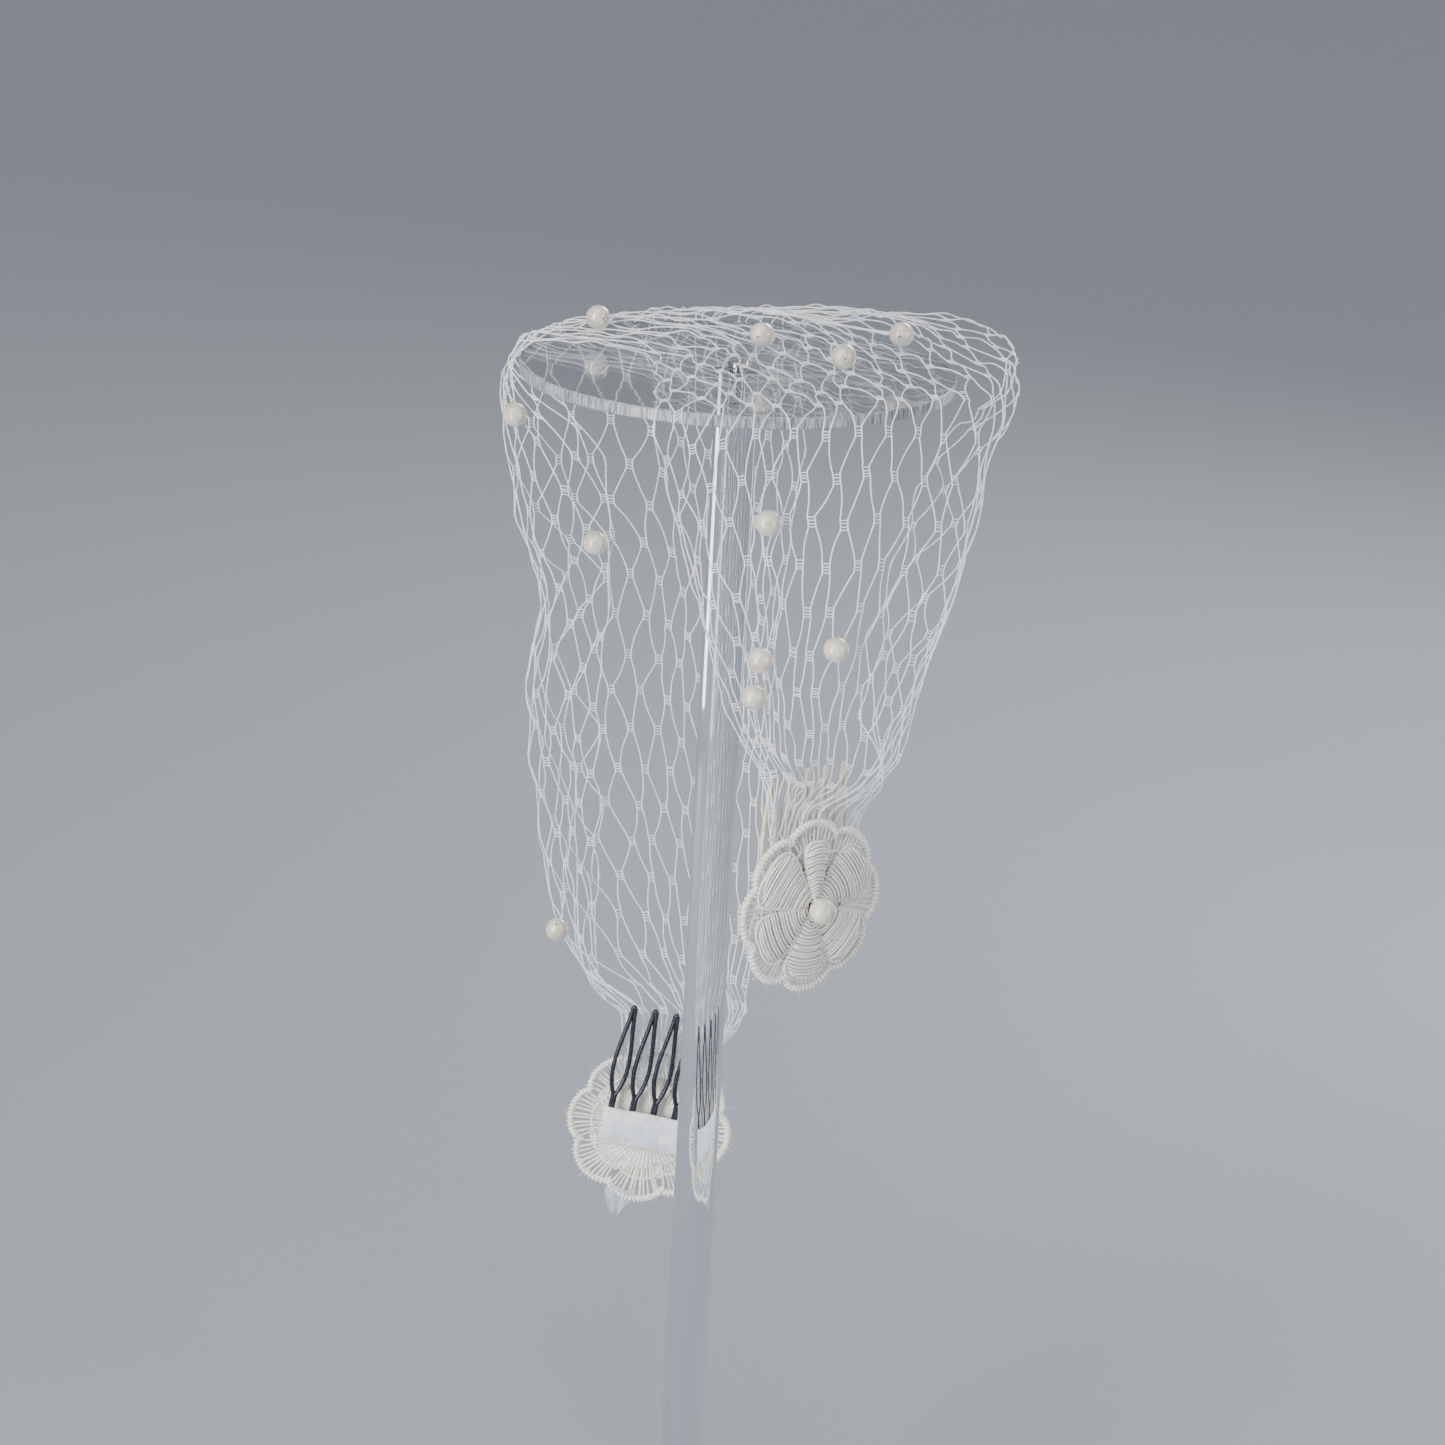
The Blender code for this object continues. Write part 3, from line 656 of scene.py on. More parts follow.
def eased(path):
    """Thread on the crown takes no sharp bend, so each point moves toward its neighbours."""
    for _ in range(CROWN_EASE):
        high = path[:, 2] > DISC_TOP + NET_OFF_DISC
        loose = high & np.roll(high, 1) & np.roll(high, -1)
        middle = (np.roll(path, 1, 0) + np.roll(path, -1, 0)) / 2
        path = np.where(loose[:, None], (path + middle) / 2, path)
    return path


def crown_height(place):
    """The net's height over a place on the disc."""
    gaps = np.hypot(GRID[..., 0] - place[0], GRID[..., 1] - place[1])
    gaps = np.where(GRID[..., 2] > DISC_TOP, gaps, np.inf)
    return GRID.reshape(-1, 3)[gaps.argmin(), 2]


def crown_crease():
    """A few threads that a pull in the net draws straight and side by side."""
    start = np.array((*CREASE_FROM, crown_height(CREASE_FROM) + CREASE_RISE))
    end = np.array((*CREASE_TO, crown_height(CREASE_TO) + CREASE_RISE))
    aside = unit(np.cross(end - start, (0.0, 0.0, 1.0)))
    t = np.linspace(0, 1, 15)[:, None]
    threads = []
    for k in range(CREASE_THREADS):
        spread = (k - (CREASE_THREADS - 1) / 2) * (CREASE_GAP + 1.6 * (2 * t - 1) ** 6)
        spread = spread + 0.25 * np.sin(9 * t + 2.1 * k)
        sag = np.array((0.0, 0.0, -CREASE_SAG)) * np.sin(math.pi * t) + (0.0, 0.0, 0.25 * (k % 2))
        threads.append(tube(start + (end - start) * t + aside * spread + sag, CREASE_RADIUS, 6))
    return threads


def net_threads():
    threads = crown_crease()
    for k in range(THREADS):
        path, ups = [], []
        for row in range(ROWS + 1):
            for e in (-1, 0, 1):
                point, out = joint_point(row, k, e)
                path.append(point)
                ups.append(out)
            if row < ROWS:
                after, _ = joint_point(row + 1, k, -1)
                for point, out in leg_points(path[-1], after, row, k):
                    path.append(point)
                    ups.append(out)
        girth = THREAD_RADIUS * (1 + 0.06 * limited(random.normal(0, 1, len(path)), 2))
        threads.append(tube(eased(np.array(path)), girth, 6, np.array(ups)))
    return threads


def net_bars():
    """The short cross yarns that bind each joint. A selvage thread keeps their stubs."""
    bars = []
    for row in range(ROWS + 1):
        for k in range(THREADS):
            first = k if (k + row) % 2 == 0 else k - 1
            if first != k and first >= 0:
                continue
            lone = first < 0 or first == THREADS - 1
            for e in np.linspace(-BAR_SPREAD, BAR_SPREAD, BARS) + random.normal(0, 0.05, BARS):
                if lone:
                    middle, out = joint_point(row, k, e)
                    ahead, _ = joint_point(row, k, e, 0.7)
                    stub = unit(ahead - middle) * BAR_STUB
                    path = [middle - stub, middle, middle + stub]
                else:
                    left, out = joint_point(row, k, e, BAR_OVERHANG)
                    right, _ = joint_point(row, k + 1, e, BAR_OVERHANG)
                    path = [left, (left + right) / 2 + out * 0.12, right]
                bars.append(tube(path, BAR_RADIUS, 6, out))
    return bars


def gather_stitches(rows):
    """Overcast stitches that hold a gather: a thread that dips in and out across the pleats."""
    runs = []
    steps = np.arange(GATHER_STITCHES)
    for row in rows:
        shares = np.linspace(0.02, 0.98, GATHER_STITCHES)
        points, out = on_net(row + 0.12 * np.sin(steps * 2.2), shares)
        depth = np.where(steps % 2 == 0, 0.75, -0.6)
        runs.append(tube(points + out * depth[:, None], GATHER_THREAD, 6, out))
    return runs


def make_net():
    add_piece(
        "veil_net_threads", net_threads(), nylon,
        ("net_back_tail", "net_crown", "net_front_tail"),
    )
    add_piece("veil_net_ladder_bars", net_bars(), nylon)
    gathers = {"back": (0.35, 0.8, 1.3), "front": (ROWS - 0.3, ROWS - 0.8, ROWS - 1.3)}
    for end, rows in gathers.items():
        add_piece(f"{end}_gather_stitches", gather_stitches(rows), thread)


# Pearls
HOLE_RADIUS = 0.45
PEARL_THREAD = 0.14
PEARL_NODES = sorted(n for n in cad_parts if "pearl" in n)


def bead(radius):
    """A drilled bead about Z: a sphere between the soft lips of its hole."""
    start = math.asin((HOLE_RADIUS + 0.18) / radius)
    angles = np.linspace(start, math.pi - start, 28)
    profile = [(radius * math.sin(a), radius * math.cos(a)) for a in angles]
    lip = radius * math.cos(start) - 0.22
    return turned([(HOLE_RADIUS, lip)] + profile + [(HOLE_RADIUS, -lip), (HOLE_RADIUS, lip)], 48)


def axes_matrix(x, y, z, origin):
    return Matrix((*np.stack((x, y, z, origin), axis=1).tolist(), (0.0, 0.0, 0.0, 1.0)))


def nearest_on_net(centre):
    gaps = np.linalg.norm(GRID - centre, axis=2)
    i, j = np.unravel_index(gaps.argmin(), gaps.shape)
    return GRID[i, j], OUTWARD[i, j], unit(GRID[min(i + 1, GRID_ALONG), j] - GRID[i - 1, j])


def make_pearls():
    """Each pearl lies with its hole along the net, and one stitch runs through it and under."""
    for node in PEARL_NODES:
        low, high = box_of(node)
        centre, radius = (low + high) / 2, (high - low)[2] / 2
        if "flower" in node:
            lay = trim_frame(node.split("_")[0])
            out = np.array(lay.col[2][:3])
            along = np.array(lay.col[0][:3])
            foot = centre - out * radius
        else:
            foot, out, along = nearest_on_net(centre)
        out = unit(out)
        swing = random.uniform(-0.9, 0.9)
        along = unit(along - out * (along @ out))
        axis = along * math.cos(swing) + np.cross(out, along) * math.sin(swing)
        lay = axes_matrix(np.cross(axis, out), out, axis, centre)
        add_piece(node + "_bead", [placed(bead(radius), lay)], pearl_finish, (node,))
        # The stitch's half: along the hole, over its lip, down the bead's side and under it.
        half = [
            axis * 1.0, axis * (radius - 0.4), axis * (radius + 0.25) - out * 0.5,
            axis * (radius - 0.3) - out * (radius * 0.62), axis * 1.6 - out * (radius + 0.75),
        ]
        path = [centre + p for p in half] + [centre - out * (radius + 1.15)]
        path += [centre + p - 2 * axis * (p @ axis) for p in reversed(half)]
        add_piece(node + "_stitch", [tube(path, PEARL_THREAD, 6, out + 0.01)], thread)


# Lace flowers
FLOWER_RADIUS = 29.0
FLOWER_LOBES = 8
FLOWER_LOBE_DEPTH = 0.13
FLOWER_BACK = 2.4
EDGE_CORD = 1.05
EDGE_STITCH = 1.45
STRANDS_A_LOBE = 11
STRAND_ROOT = 0.46
STRAND_FAN = 0.72
STRAND_REACH = 0.95
STRAND_GIRTH = 0.46
FIBRE_COUNT = 46
FIBRE_RADIUS = 0.06
PETAL_COLUMNS = ("turn", "tip", "width", "lift")
PETALS = (
    (90.0, 22.5, 6.4, 0.8),
    (143.0, 25.0, 13.4, 0.2),
    (206.0, 24.0, 12.2, 0.0),
    (262.0, 24.5, 11.0, 0.3),
    (318.0, 25.0, 12.4, 0.0),
    (30.0, 25.0, 13.2, 0.2),
)
PETAL_REACH = {"back": 0.84, "front": 1.0}
PETAL_FOOT = 2.2
PETAL_BACK = 3.9
PETAL_PUFF = 1.0
STITCH_PITCH = 1.1
STITCH_RADIUS = 0.43
GROUND_EDGE = 0.54
GROUND_DISH = 1.9
GROUND_HALF = 0.3
GROUND_RIB = 0.26


def trim_frame(trim):
    """Local x across the gather, y up, z out of the flower's face."""
    values = dict(zip(TRIM_COLUMNS, TRIMS[trim]))
    place = Vector((values["x"], values["y"], values["height"] + DISC_TOP))
    upright = Matrix.Rotation(math.radians(values["facing"] + 90), 4, "Z")
    upright = upright @ Matrix.Rotation(math.radians(90), 4, "X")
    roll = Matrix.Rotation(math.radians(values["roll"]), 4, "Z")
    return Matrix.Translation(place) @ upright @ roll


def lobed(angles):
    """The lower layer's edge: round lobes, the first one up."""
    swing = np.sqrt(np.abs(np.cos(FLOWER_LOBES * (angles - math.pi / 2) / 2)))
    return FLOWER_RADIUS * (1 - FLOWER_LOBE_DEPTH * (1 - swing))


def ring_at(angles, radius, height):
    angles, radius, height = np.broadcast_arrays(angles, radius, height)
    return np.stack((radius * np.cos(angles), radius * np.sin(angles), height), axis=-1)


def rope(path, radius, stitch, depth, sides=10, loop=True):
    """A cord covered in overcast stitches: a row of beads, each a little aslant."""
    ends = np.roll(path, -1, 0) if loop else np.vstack((path[1:], path[-1:]))
    run = np.concatenate(([0.0], np.cumsum(np.linalg.norm(ends - path, axis=1))[:-1]))
    turn = 2 * math.pi * np.arange(sides) / sides
    beads = np.abs(np.sin(math.pi * run[:, None] / stitch + 0.7 * np.sin(turn)))
    lumps = random.normal(0, 0.05, (len(path), 1))
    return tube(path, radius + depth * (beads - 0.6) + lumps, sides, loop=loop)


def lace_ground():
    """The flower's middle: close radial stitches, raised on both faces."""
    spokes, rings = 224, 16
    angles = 2 * math.pi * np.arange(spokes) / spokes
    shares = np.linspace(0.05, GROUND_EDGE, rings)[:, None]
    ribs = GROUND_RIB * np.cos(angles * spokes / 4) + random.normal(0, 0.05, (rings, spokes))
    radius = shares * lobed(angles)
    middle = FLOWER_BACK + 0.55 + 0.25 * np.sin(shares * 9)
    middle = middle - GROUND_DISH * (1 - (shares / GROUND_EDGE) ** 2)
    front = ring_at(angles, radius, middle + GROUND_HALF + ribs)
    back = ring_at(angles, radius, middle - GROUND_HALF + ribs)
    return shell(front, back, loop=True)


def edge_strands():
    """Long satin stitches that fan from each lobe's root to the corded edge, with gaps between."""
    strands = []
    lobe_turn = 2 * math.pi / FLOWER_LOBES
    for lobe in range(FLOWER_LOBES):
        middle = math.pi / 2 + lobe * lobe_turn
        for s in (np.arange(STRANDS_A_LOBE) + 0.5) / STRANDS_A_LOBE - 0.5:
            wander = random.normal(0, 0.010, 2)
            outer = middle + s * lobe_turn + wander[0]
            inner = middle + STRAND_FAN * s * lobe_turn + wander[1]
            t = np.linspace(0, 1, 7)
            angles = inner + (outer - inner) * t
            root = STRAND_ROOT * FLOWER_RADIUS
            reach = root + (STRAND_REACH * lobed(np.array(outer)) - root) * t
            height = FLOWER_BACK + 0.6 + 0.35 * np.sin(math.pi * t) + random.normal(0, 0.07)
            girth = STRAND_GIRTH * (1 - 0.25 * t) * random.uniform(0.65, 1.25)
            strands.append(tube(ring_at(angles, reach, height), girth, 6))
    return strands


def edge_cords():
    """The thick cord round the lobes and a thin one inside it."""
    angles = 2 * math.pi * np.arange(FLOWER_LOBES * 96) / (FLOWER_LOBES * 96)
    outer = ring_at(angles, lobed(angles) - EDGE_CORD, FLOWER_BACK + 0.85)
    inner = ring_at(angles, 0.7 * lobed(angles), FLOWER_BACK + 1.0)
    return [
        rope(outer, EDGE_CORD, EDGE_STITCH, 0.75, 12),
        rope(inner, 0.42, EDGE_STITCH, 0.25, 8),
    ]


def petal_point(shape, t, x, lift=0.0, bow=0.0):
    """t runs from the petal's foot to its tip, and x from -1 to 1 across it."""
    reach = PETAL_FOOT + (shape["tip"] - PETAL_FOOT) * t + bow * x * x
    sideways = shape["width"] * t ** 0.8 * np.sqrt(np.clip(1 - t ** 6, 0, 1)) * x
    crown = np.sqrt(np.clip(1 - x * x, 0, 1)) * np.clip(1 - (2 * t - 1) ** 6, 0, 1)
    height = PETAL_BACK + 0.8 + shape["lift"] + PETAL_PUFF * crown + lift
    cos, sin = math.cos(math.radians(shape["turn"])), math.sin(math.radians(shape["turn"]))
    return np.stack(np.broadcast_arrays(
        reach * cos - sideways * sin, reach * sin + sideways * cos, height
    ), axis=-1)


def petal(row, share):
    """A padded petal, covered in satin stitches across it, with a fine cord round its edge."""
    shape = dict(zip(PETAL_COLUMNS, row))
    shape["tip"] *= share
    t = np.linspace(0.03, 0.99, 26)[:, None]
    x = np.linspace(-1, 1, 15)[None, :]
    top = petal_point(shape, t, x, -0.7)
    under = top.copy()
    under[..., 2] = PETAL_BACK - 0.2 + 0.3 * shape["lift"]
    shapes = [shell(top, under)]
    count = int((shape["tip"] - PETAL_FOOT) / STITCH_PITCH)
    for i in range(1, count):
        wander = random.normal(0, 1, 3)
        across = np.linspace(-1, 1, 13)
        place = (i + 0.12 * wander[0]) / count
        path = petal_point(shape, place, across, wander[1] * 0.06, -1.4 + wander[2] * 0.2)
        path[[0, -1], 2] -= 0.6
        shapes.append(tube(path, STITCH_RADIUS * (1 + 0.08 * wander[2]), 8))
    side = np.linspace(0.06, 0.98, 90)
    outline = np.vstack((petal_point(shape, side, 1.0), petal_point(shape, side[::-1], -1.0)))
    shapes.append(rope(outline, 0.34, EDGE_STITCH, 0.25, 8, loop=False))
    return shapes


def stray_fibres():
    """Loose ends of thread that stand out past the cut edge."""
    fibres = []
    for _ in range(FIBRE_COUNT):
        angle = random.uniform(0, 2 * math.pi)
        t = np.linspace(0, 1, 6)[:, None]
        start = ring_at(angle, lobed(np.array(angle)) - 0.6, FLOWER_BACK + 0.8)
        out = ring_at(angle + random.normal(0, 0.5), 1.0, 0.0)
        curl = unit(random.normal(0, 1, 3))
        path = start + out * t * random.uniform(1.2, 3.2) + curl * t * t * random.uniform(0.4, 1.6)
        fibres.append(tube(path, FIBRE_RADIUS, 4))
    return fibres


def make_flower(trim):
    lay = trim_frame(trim)
    lace = [lace_ground()] + edge_strands() + edge_cords()
    lower = add_piece(
        f"{trim}_flower_lower_lace", [placed(s, lay) for s in lace], lace_thread,
        (f"{trim}_flower_lower",),
    )
    petals = [shape for row in PETALS for shape in petal(row, PETAL_REACH[trim])]
    add_piece(
        f"{trim}_flower_petal_stitches", [placed(s, lay) for s in petals], lace_thread,
        (f"{trim}_flower_petals",),
    )
    fibres = add_piece(
        f"{trim}_flower_stray_fibres", [placed(s, lay) for s in stray_fibres()], lace_thread,
    )
    return lower, fibres


# Combs and ribbons
COMB_TEETH = 5
COMB_PITCH = 7.5
COMB_PLANE = -1.4
TOOTH_STEM = 11.5
TOOTH_LENGTH = 44.0
TOOTH_HALF_WIDTH = 3.0
STEM_HALF_WIDTH = 0.9
WIRE_RADIUS = 0.78
LEAF_LOW = 0.62
LEAF_FULLNESS = 1.4
TIP_RADIUS = 0.95
BINDING_RADIUS = 0.16
BINDING_TURNS = 26
BAR_HALF_LENGTH = COMB_PITCH * (COMB_TEETH - 1) / 2 + STEM_HALF_WIDTH + 1.0


def ball(radius):
    angles = np.linspace(0.16, math.pi - 0.16, 12)
    return turned([(radius * math.sin(a), radius * math.cos(a)) for a in angles], 16)


def comb_tooth(x):
    """A loop of wire: two wires up a short stem, parted as a leaf and closed at the tip."""
    share = np.linspace(0, 1, 26)
    leaf = np.sin(math.pi * share ** LEAF_LOW) ** LEAF_FULLNESS
    half = STEM_HALF_WIDTH + (TOOTH_HALF_WIDTH - STEM_HALF_WIDTH) * leaf - WIRE_RADIUS * 0.6
    up = TOOTH_STEM + (TOOTH_LENGTH - TOOTH_STEM) * share
    stem = np.linspace(-0.5, TOOTH_STEM - 1.0, 5)
    half = np.concatenate((np.full(5, 0.4), half))
    up = np.concatenate((stem, up))
    shapes = []
    for side in (-1, 1):
        path = np.stack((x + side * half, up, np.full(len(up), COMB_PLANE)), axis=1)
        shapes.append(tube(path, WIRE_RADIUS, 10))
    tip = Matrix.Translation((x, TOOTH_LENGTH + 0.2, COMB_PLANE))
    shapes.append(placed(ball(TIP_RADIUS), tip))
    return shapes


def comb_bar():
    """Two wires side by side, bound by a fine wire between the teeth."""
    shapes = []
    for y in (-0.75, 0.75):
        path = [(x, y, COMB_PLANE) for x in (-BAR_HALF_LENGTH, 0.0, BAR_HALF_LENGTH)]
        shapes.append(tube(path, WIRE_RADIUS, 10))
    t = np.linspace(0, 1, BINDING_TURNS * 12)
    turn = math.tau * BINDING_TURNS * t
    coil = np.stack((
        BAR_HALF_LENGTH * (2 * t - 1) * 0.97, 1.55 * np.cos(turn),
        COMB_PLANE + WIRE_RADIUS * np.sin(turn),
    ), axis=1)
    shapes.append(tube(coil, BINDING_RADIUS, 6, up=(1.0, 0.0, 0.0)))
    return shapes


def make_comb(trim):
    lay = trim_frame(trim)
    first = -COMB_PITCH * (COMB_TEETH - 1) / 2
    shapes = comb_bar()
    for tooth in range(COMB_TEETH):
        shapes += comb_tooth(first + tooth * COMB_PITCH)
    add_piece(
        f"{trim}_comb_wires", [placed(s, lay) for s in shapes], wire_finishes[trim],
        (f"{trim}_comb",),
    )


RIBBON_LENGTH = 34.0
RIBBON_WIDTH = 13.0
RIBBON_THICK = 0.4
HEM_STITCHES = 38
HEM_THREAD = 0.13
END_THREAD = 0.16


def ribbon_plane(x, y):
    """The ribbon's height: over the bar in the middle, down to the lace at its lower edge."""
    across = y / (RIBBON_WIDTH / 2)
    over = -2.55 - 0.45 * (1 - across ** 2)
    down = np.clip(-across - 0.35, 0, 1) ** 2 * 2.6
    wave = 0.1 * np.sin(x * 0.42 + y * 0.3) + 0.06 * np.sin(x * 0.95 - 1.3)
    end = np.clip(np.abs(x) - RIBBON_LENGTH / 2 + 1.6, 0, 1.6) ** 2 * 0.22
    return over + down + wave * (1 - 0.5 * across) + end


def hem_wave(x):
    """How far the ribbon's long edges stray from straight."""
    return 0.12 * np.sin(x * 0.31 + 0.8)


def ribbon_stitches():
    """Hem stitches along both long edges, and longer ones that hold the ends to the lace."""
    shapes = []
    for edge in (-1, 1):
        dip = 0.25 * edge
        for x in np.linspace(-0.97, 0.97, HEM_STITCHES) * RIBBON_LENGTH / 2:
            y = edge * (RIBBON_WIDTH / 2 - 0.1) + hem_wave(x)
            here = np.array((x, y, ribbon_plane(x, y) - 0.05))
            path = here + np.array(((-0.3, -dip, 0.0), (0.0, dip, -0.12), (0.3, -dip, 0.0)))
            shapes.append(tube(path, HEM_THREAD, 4))
    for end in (-1, 1):
        x = end * (RIBBON_LENGTH / 2 - 0.2)
        for y in np.linspace(-0.8, 0.8, 5) * RIBBON_WIDTH / 2:
            top = ribbon_plane(x - end * 1.3, y) - 0.15
            path = np.array((
                (x - end * 1.6, y + 0.4, top + 0.25), (x - end * 0.9, y + 0.2, top - 0.1),
                (x + end * 0.3, y, top + 0.3), (x + end * 0.9, y - 0.2, top + 1.6),
            ))
            shapes.append(tube(path, END_THREAD, 6))
    return shapes


def make_ribbon(trim):
    lay = trim_frame(trim)
    x = np.linspace(-RIBBON_LENGTH / 2, RIBBON_LENGTH / 2, 73)[None, :]
    y = np.linspace(-RIBBON_WIDTH / 2, RIBBON_WIDTH / 2, 25)[:, None]
    x, y = np.broadcast_arrays(x, y)
    y = y + hem_wave(x)
    face = np.stack((x, y, ribbon_plane(x, y)), axis=-1)
    back = face + np.array((0.0, 0.0, RIBBON_THICK))
    ribbon = add_piece(
        f"{trim}_ribbon_satin", [placed(shell(face, back), lay)], satin,
        (f"{trim}_ribbon",),
    )
    stitches = add_piece(
        f"{trim}_ribbon_stitches", [placed(s, lay) for s in ribbon_stitches()], thread,
    )
    return ribbon, stitches


SCRAP_SIZE = (11.0, 10.0)
SCRAP_PLACE = (4.7, -24.5, 2.0)
SCRAP_TAPER = 0.72
SCRAP_THICK = 0.12


def make_scrap():
    """A cut corner of backing organza that shows under the back flower."""
    u = np.linspace(-0.5, 0.5, 21)[None, :]
    v = np.linspace(0, 1, 17)[:, None]
    x = SCRAP_PLACE[0] + u * SCRAP_SIZE[0] * (1 - SCRAP_TAPER * v ** 1.6)
    y = SCRAP_PLACE[1] - v * SCRAP_SIZE[1] + 0.6 * np.sin(u * 9)
    z = SCRAP_PLACE[2] + 0.7 * np.sin(u * 14 + v * 4) * v + 0.4 * np.sin(v * 9 + u * 3)
    face = np.stack(np.broadcast_arrays(x, y, z), axis=-1)
    back = face + np.array((0.0, 0.0, SCRAP_THICK))
    return add_piece(
        "back_flower_backing_scrap", [placed(shell(face, back), trim_frame("back"))], organza,
    )


# The stand
BORE = 1.8
BASE_ROUND = 1.2
ROD_CHAMFER = 0.25
DISC_CHAMFER = 0.4
THREAD_PITCH = 0.7
THREAD_DEPTH = 0.28
SCREW_SHANK = 1.5
SLOT_WIDTH = 0.9
SLOT_DEPTH = 0.6
SLOT_TURN = 24


def make_base():
    """A thick round of acrylic with a rounded upper edge."""
    high = box_of("stand_base")[1]
    radius, top, centre = high[0], high[2], 1.0
    edge = [
        (radius - BASE_ROUND * (1 - math.sin(a)), top - BASE_ROUND * (1 - math.cos(a)))
        for a in np.linspace(0, math.pi / 2, 7)
    ]
    profile = [(centre, top)] + edge + [(radius, 0.0), (centre, 0.0)]
    add_piece(
        "stand_base_turned", [turned(profile, 256)], acrylic_slab,
        ("stand_base",), sharp=35,
    )


def make_rod(screw_foot):
    """The rod, with a bore in its top that takes the screw."""
    low, high = box_of("stand_rod")
    radius, bottom, top = high[0], low[2], high[2]
    bore_foot = screw_foot - 1.0
    profile = [
        (BORE - 0.4, bore_foot), (BORE, bore_foot + 0.4), (BORE, top),
        (radius - ROD_CHAMFER, top), (radius, top - ROD_CHAMFER),
        (radius, bottom + ROD_CHAMFER), (radius - ROD_CHAMFER, bottom),
    ]
    add_piece(
        "stand_rod_drawn", [turned(profile, 160)], acrylic_rod,
        ("stand_rod",), sharp=35,
    )


def make_disc():
    """The disc, polished on its faces and frosted round its sawn edge."""
    low, high = DISC_TOP - DISC_THICK, DISC_TOP
    profile = [
        (BORE, low), (BORE, high), (DISC_RADIUS - DISC_CHAMFER, high),
        (DISC_RADIUS, high - DISC_CHAMFER), (DISC_RADIUS, low + DISC_CHAMFER),
        (DISC_RADIUS - DISC_CHAMFER, low), (BORE, low),
    ]
    disc = add_piece(
        "stand_disc_cut", [turned(profile, 320)], acrylic_sheet,
        ("stand_disc",), sharp=30,
    )
    disc.data.materials.append(acrylic_edge)
    for face in disc.data.polygons:
        reach = math.hypot(face.center[0], face.center[1])
        if reach > (DISC_RADIUS - 2 * DISC_CHAMFER) * MM and abs(face.normal.z) < 0.9:
            face.material_index = 1


def make_screw(foot):
    """A flat-head screw: its head, its shank with a thread, and the slot cut in its head."""
    radius, _, top = box_of("stand_screw")[1]
    under_head = DISC_TOP + 0.3
    turns = (under_head - foot) / THREAD_PITCH
    heights = np.linspace(under_head - 0.01, foot + 0.3, int(turns * 6))
    groove = THREAD_DEPTH * (0.5 + 0.5 * np.cos(math.tau * heights / THREAD_PITCH))
    head = [
        (0.5, top), (radius - 0.4, top), (radius, top - 0.4), (radius, under_head),
    ]
    profile = head + list(zip(SCREW_SHANK - groove, heights)) + [(0.5, foot)]
    screw = add_piece(
        "stand_screw_turned", [turned(profile, 48)], zinc,
        ("stand_screw",), sharp=40,
    )
    block = bmesh.new()
    bmesh.ops.create_cube(block, size=1.0)
    cutter = add_object("screw_slot_cutter", bpy.data.meshes.new("screw_slot_cutter"))
    block.to_mesh(cutter.data)
    block.free()
    cutter.scale = (2.4 * radius * MM, SLOT_WIDTH * MM, 2 * SLOT_DEPTH * MM)
    cutter.rotation_euler = (0.0, 0.0, math.radians(SLOT_TURN))
    cutter.location = (0.0, 0.0, top * MM)
    cut = screw.modifiers.new("slot", "BOOLEAN")
    cut.object = cutter
    cut.operation = "DIFFERENCE"
    bpy.context.view_layer.update()
    slotted = screw.evaluated_get(bpy.context.evaluated_depsgraph_get())
    slotted_mesh = bpy.data.meshes.new_from_object(slotted)
    screw.modifiers.clear()
    screw.data = slotted_mesh
    bpy.data.objects.remove(cutter)


def make_stand():
    screw_foot = box_of("stand_screw")[0][2]
    make_base()
    make_rod(screw_foot)
    make_disc()
    make_screw(screw_foot)


# Floor, light and camera
# The camera's place is in metres and its turns in radians, worked out from the disc's ellipse
# and the rod's edges. A light's place and size are in metres and its power is in watts.
CAMERA_PLACE = (0.0, -1.3170, 0.7405)
CAMERA_YAW = 0.0008
CAMERA_PITCH = 0.3018
CAMERA_ROLL = -0.0532
CAMERA_LENS = 104.6
LIGHTS = (
    # name, place, width, height, power, colour, height that it faces
    ("key_light", (-1.15, -1.35, 0.95), 0.6, 1.3, 28.0, "#FFFBF4", 0.33),
    ("fill_light", (1.5, -1.1, 0.75), 0.8, 1.2, 16.0, "#F4F7FF", 0.33),
    ("rim_light", (0.7, 1.3, 1.2), 0.8, 0.8, 20.0, "#FFFFFF", 0.33),
    ("left_strip", (-0.62, -0.72, 0.26), 0.22, 0.46, 5.0, "#FFFFFF", 0.26),
    ("right_strip", (0.66, 0.74, 0.26), 0.22, 0.46, 1.2, "#FFFFFF", 0.26),
)
FLOOR_HALF = 9.0


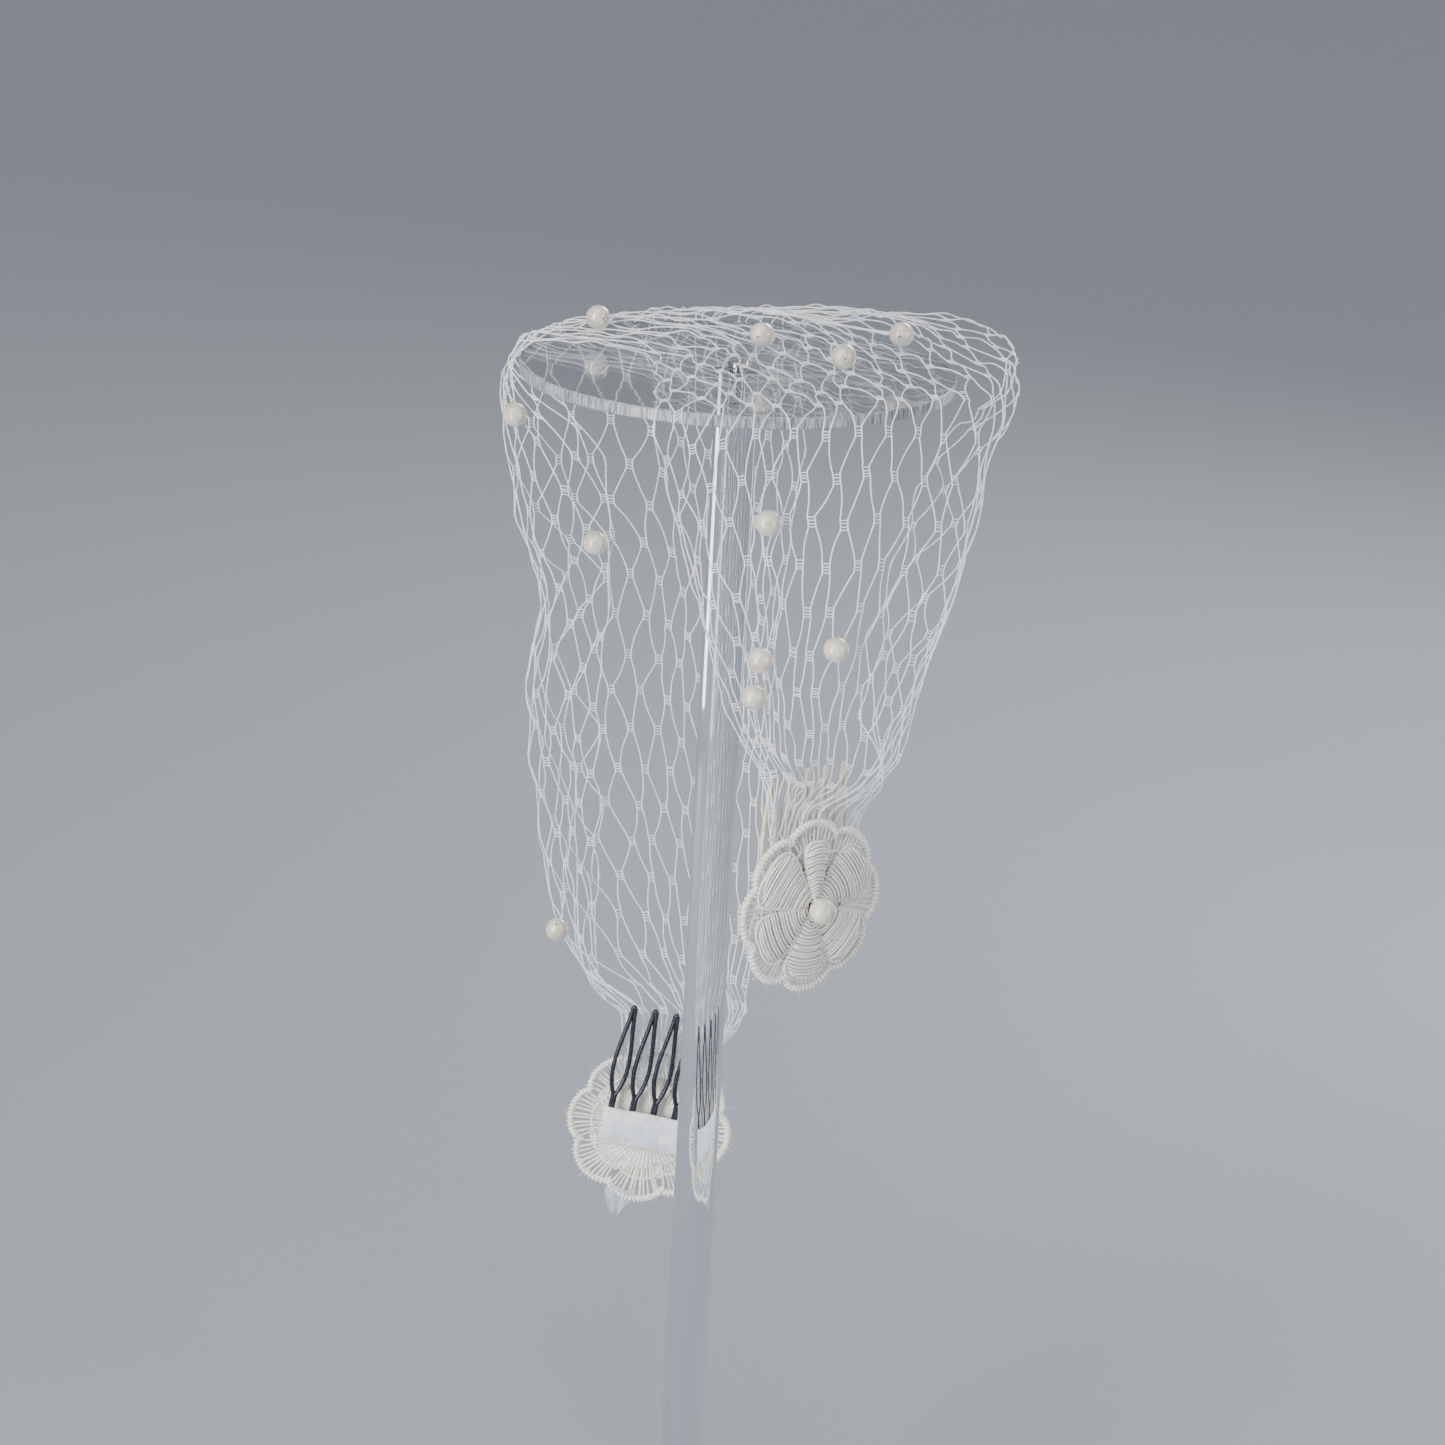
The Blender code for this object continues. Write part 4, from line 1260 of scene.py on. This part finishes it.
def make_camera():
    forward = np.array((
        math.sin(CAMERA_YAW) * math.cos(CAMERA_PITCH), math.cos(CAMERA_YAW) * math.cos(CAMERA_PITCH),
        -math.sin(CAMERA_PITCH),
    ))
    level = np.array((math.cos(CAMERA_YAW), -math.sin(CAMERA_YAW), 0.0))
    above = np.cross(level, forward)
    right = level * math.cos(CAMERA_ROLL) - above * math.sin(CAMERA_ROLL)
    up = level * math.sin(CAMERA_ROLL) + above * math.cos(CAMERA_ROLL)
    data = bpy.data.cameras.new("photo_camera")
    data.lens = CAMERA_LENS
    data.sensor_width = 36.0
    data.clip_end = 50.0
    camera = add_object("photo_camera", data)
    camera.matrix_world = axes_matrix(right, up, -forward, np.array(CAMERA_PLACE))
    bpy.context.scene.camera = camera


def add_light(name, place, width, height, power, colour, aim):
    """A soft box that faces the stand at the height of its aim, itself unseen."""
    data = bpy.data.lights.new(name, "AREA")
    data.shape = "RECTANGLE"
    data.size = width
    data.size_y = height
    data.energy = power
    data.color = linear(colour)[:3]
    light = add_object(name, data)
    light.location = place
    light.visible_camera = False
    toward = Vector((0.0, 0.0, aim)) - Vector(place)
    light.rotation_euler = toward.to_track_quat("-Z", "Y").to_euler()


def add_sky_light():
    """Even light from above and in front, so that the floor stays as pale far away as near."""
    data = bpy.data.lights.new("even_light", "SUN")
    data.energy = 2.0
    data.angle = math.radians(60)
    light = add_object("even_light", data)
    light.rotation_euler = Vector((0.35, 0.6, -1.0)).to_track_quat("-Z", "Y").to_euler()


def make_studio():
    mesh = bpy.data.meshes.new("floor")
    signs = ((-1, -1), (1, -1), (1, 1), (-1, 1))
    corners = [(x * FLOOR_HALF, y * FLOOR_HALF, 0.0) for x, y in signs]
    mesh.from_pydata(corners, [], [(0, 1, 2, 3)])
    mesh.materials.append(matte_paper())
    add_object("floor", mesh)
    for row in LIGHTS:
        add_light(*row)
    add_sky_light()
    world = bpy.data.worlds.new("studio")
    bpy.context.scene.world = world
    world.use_nodes = True
    sky = world.node_tree.nodes["Background"]
    sky.inputs["Color"].default_value = linear("#D5DBE4")
    sky.inputs["Strength"].default_value = 0.3


make_camera()
make_studio()
make_stand()
make_net()
make_pearls()
for trim in TRIMS:
    lower, fibres = make_flower(trim)
    make_comb(trim)
    ribbon, stitches = make_ribbon(trim)
scrap = make_scrap()
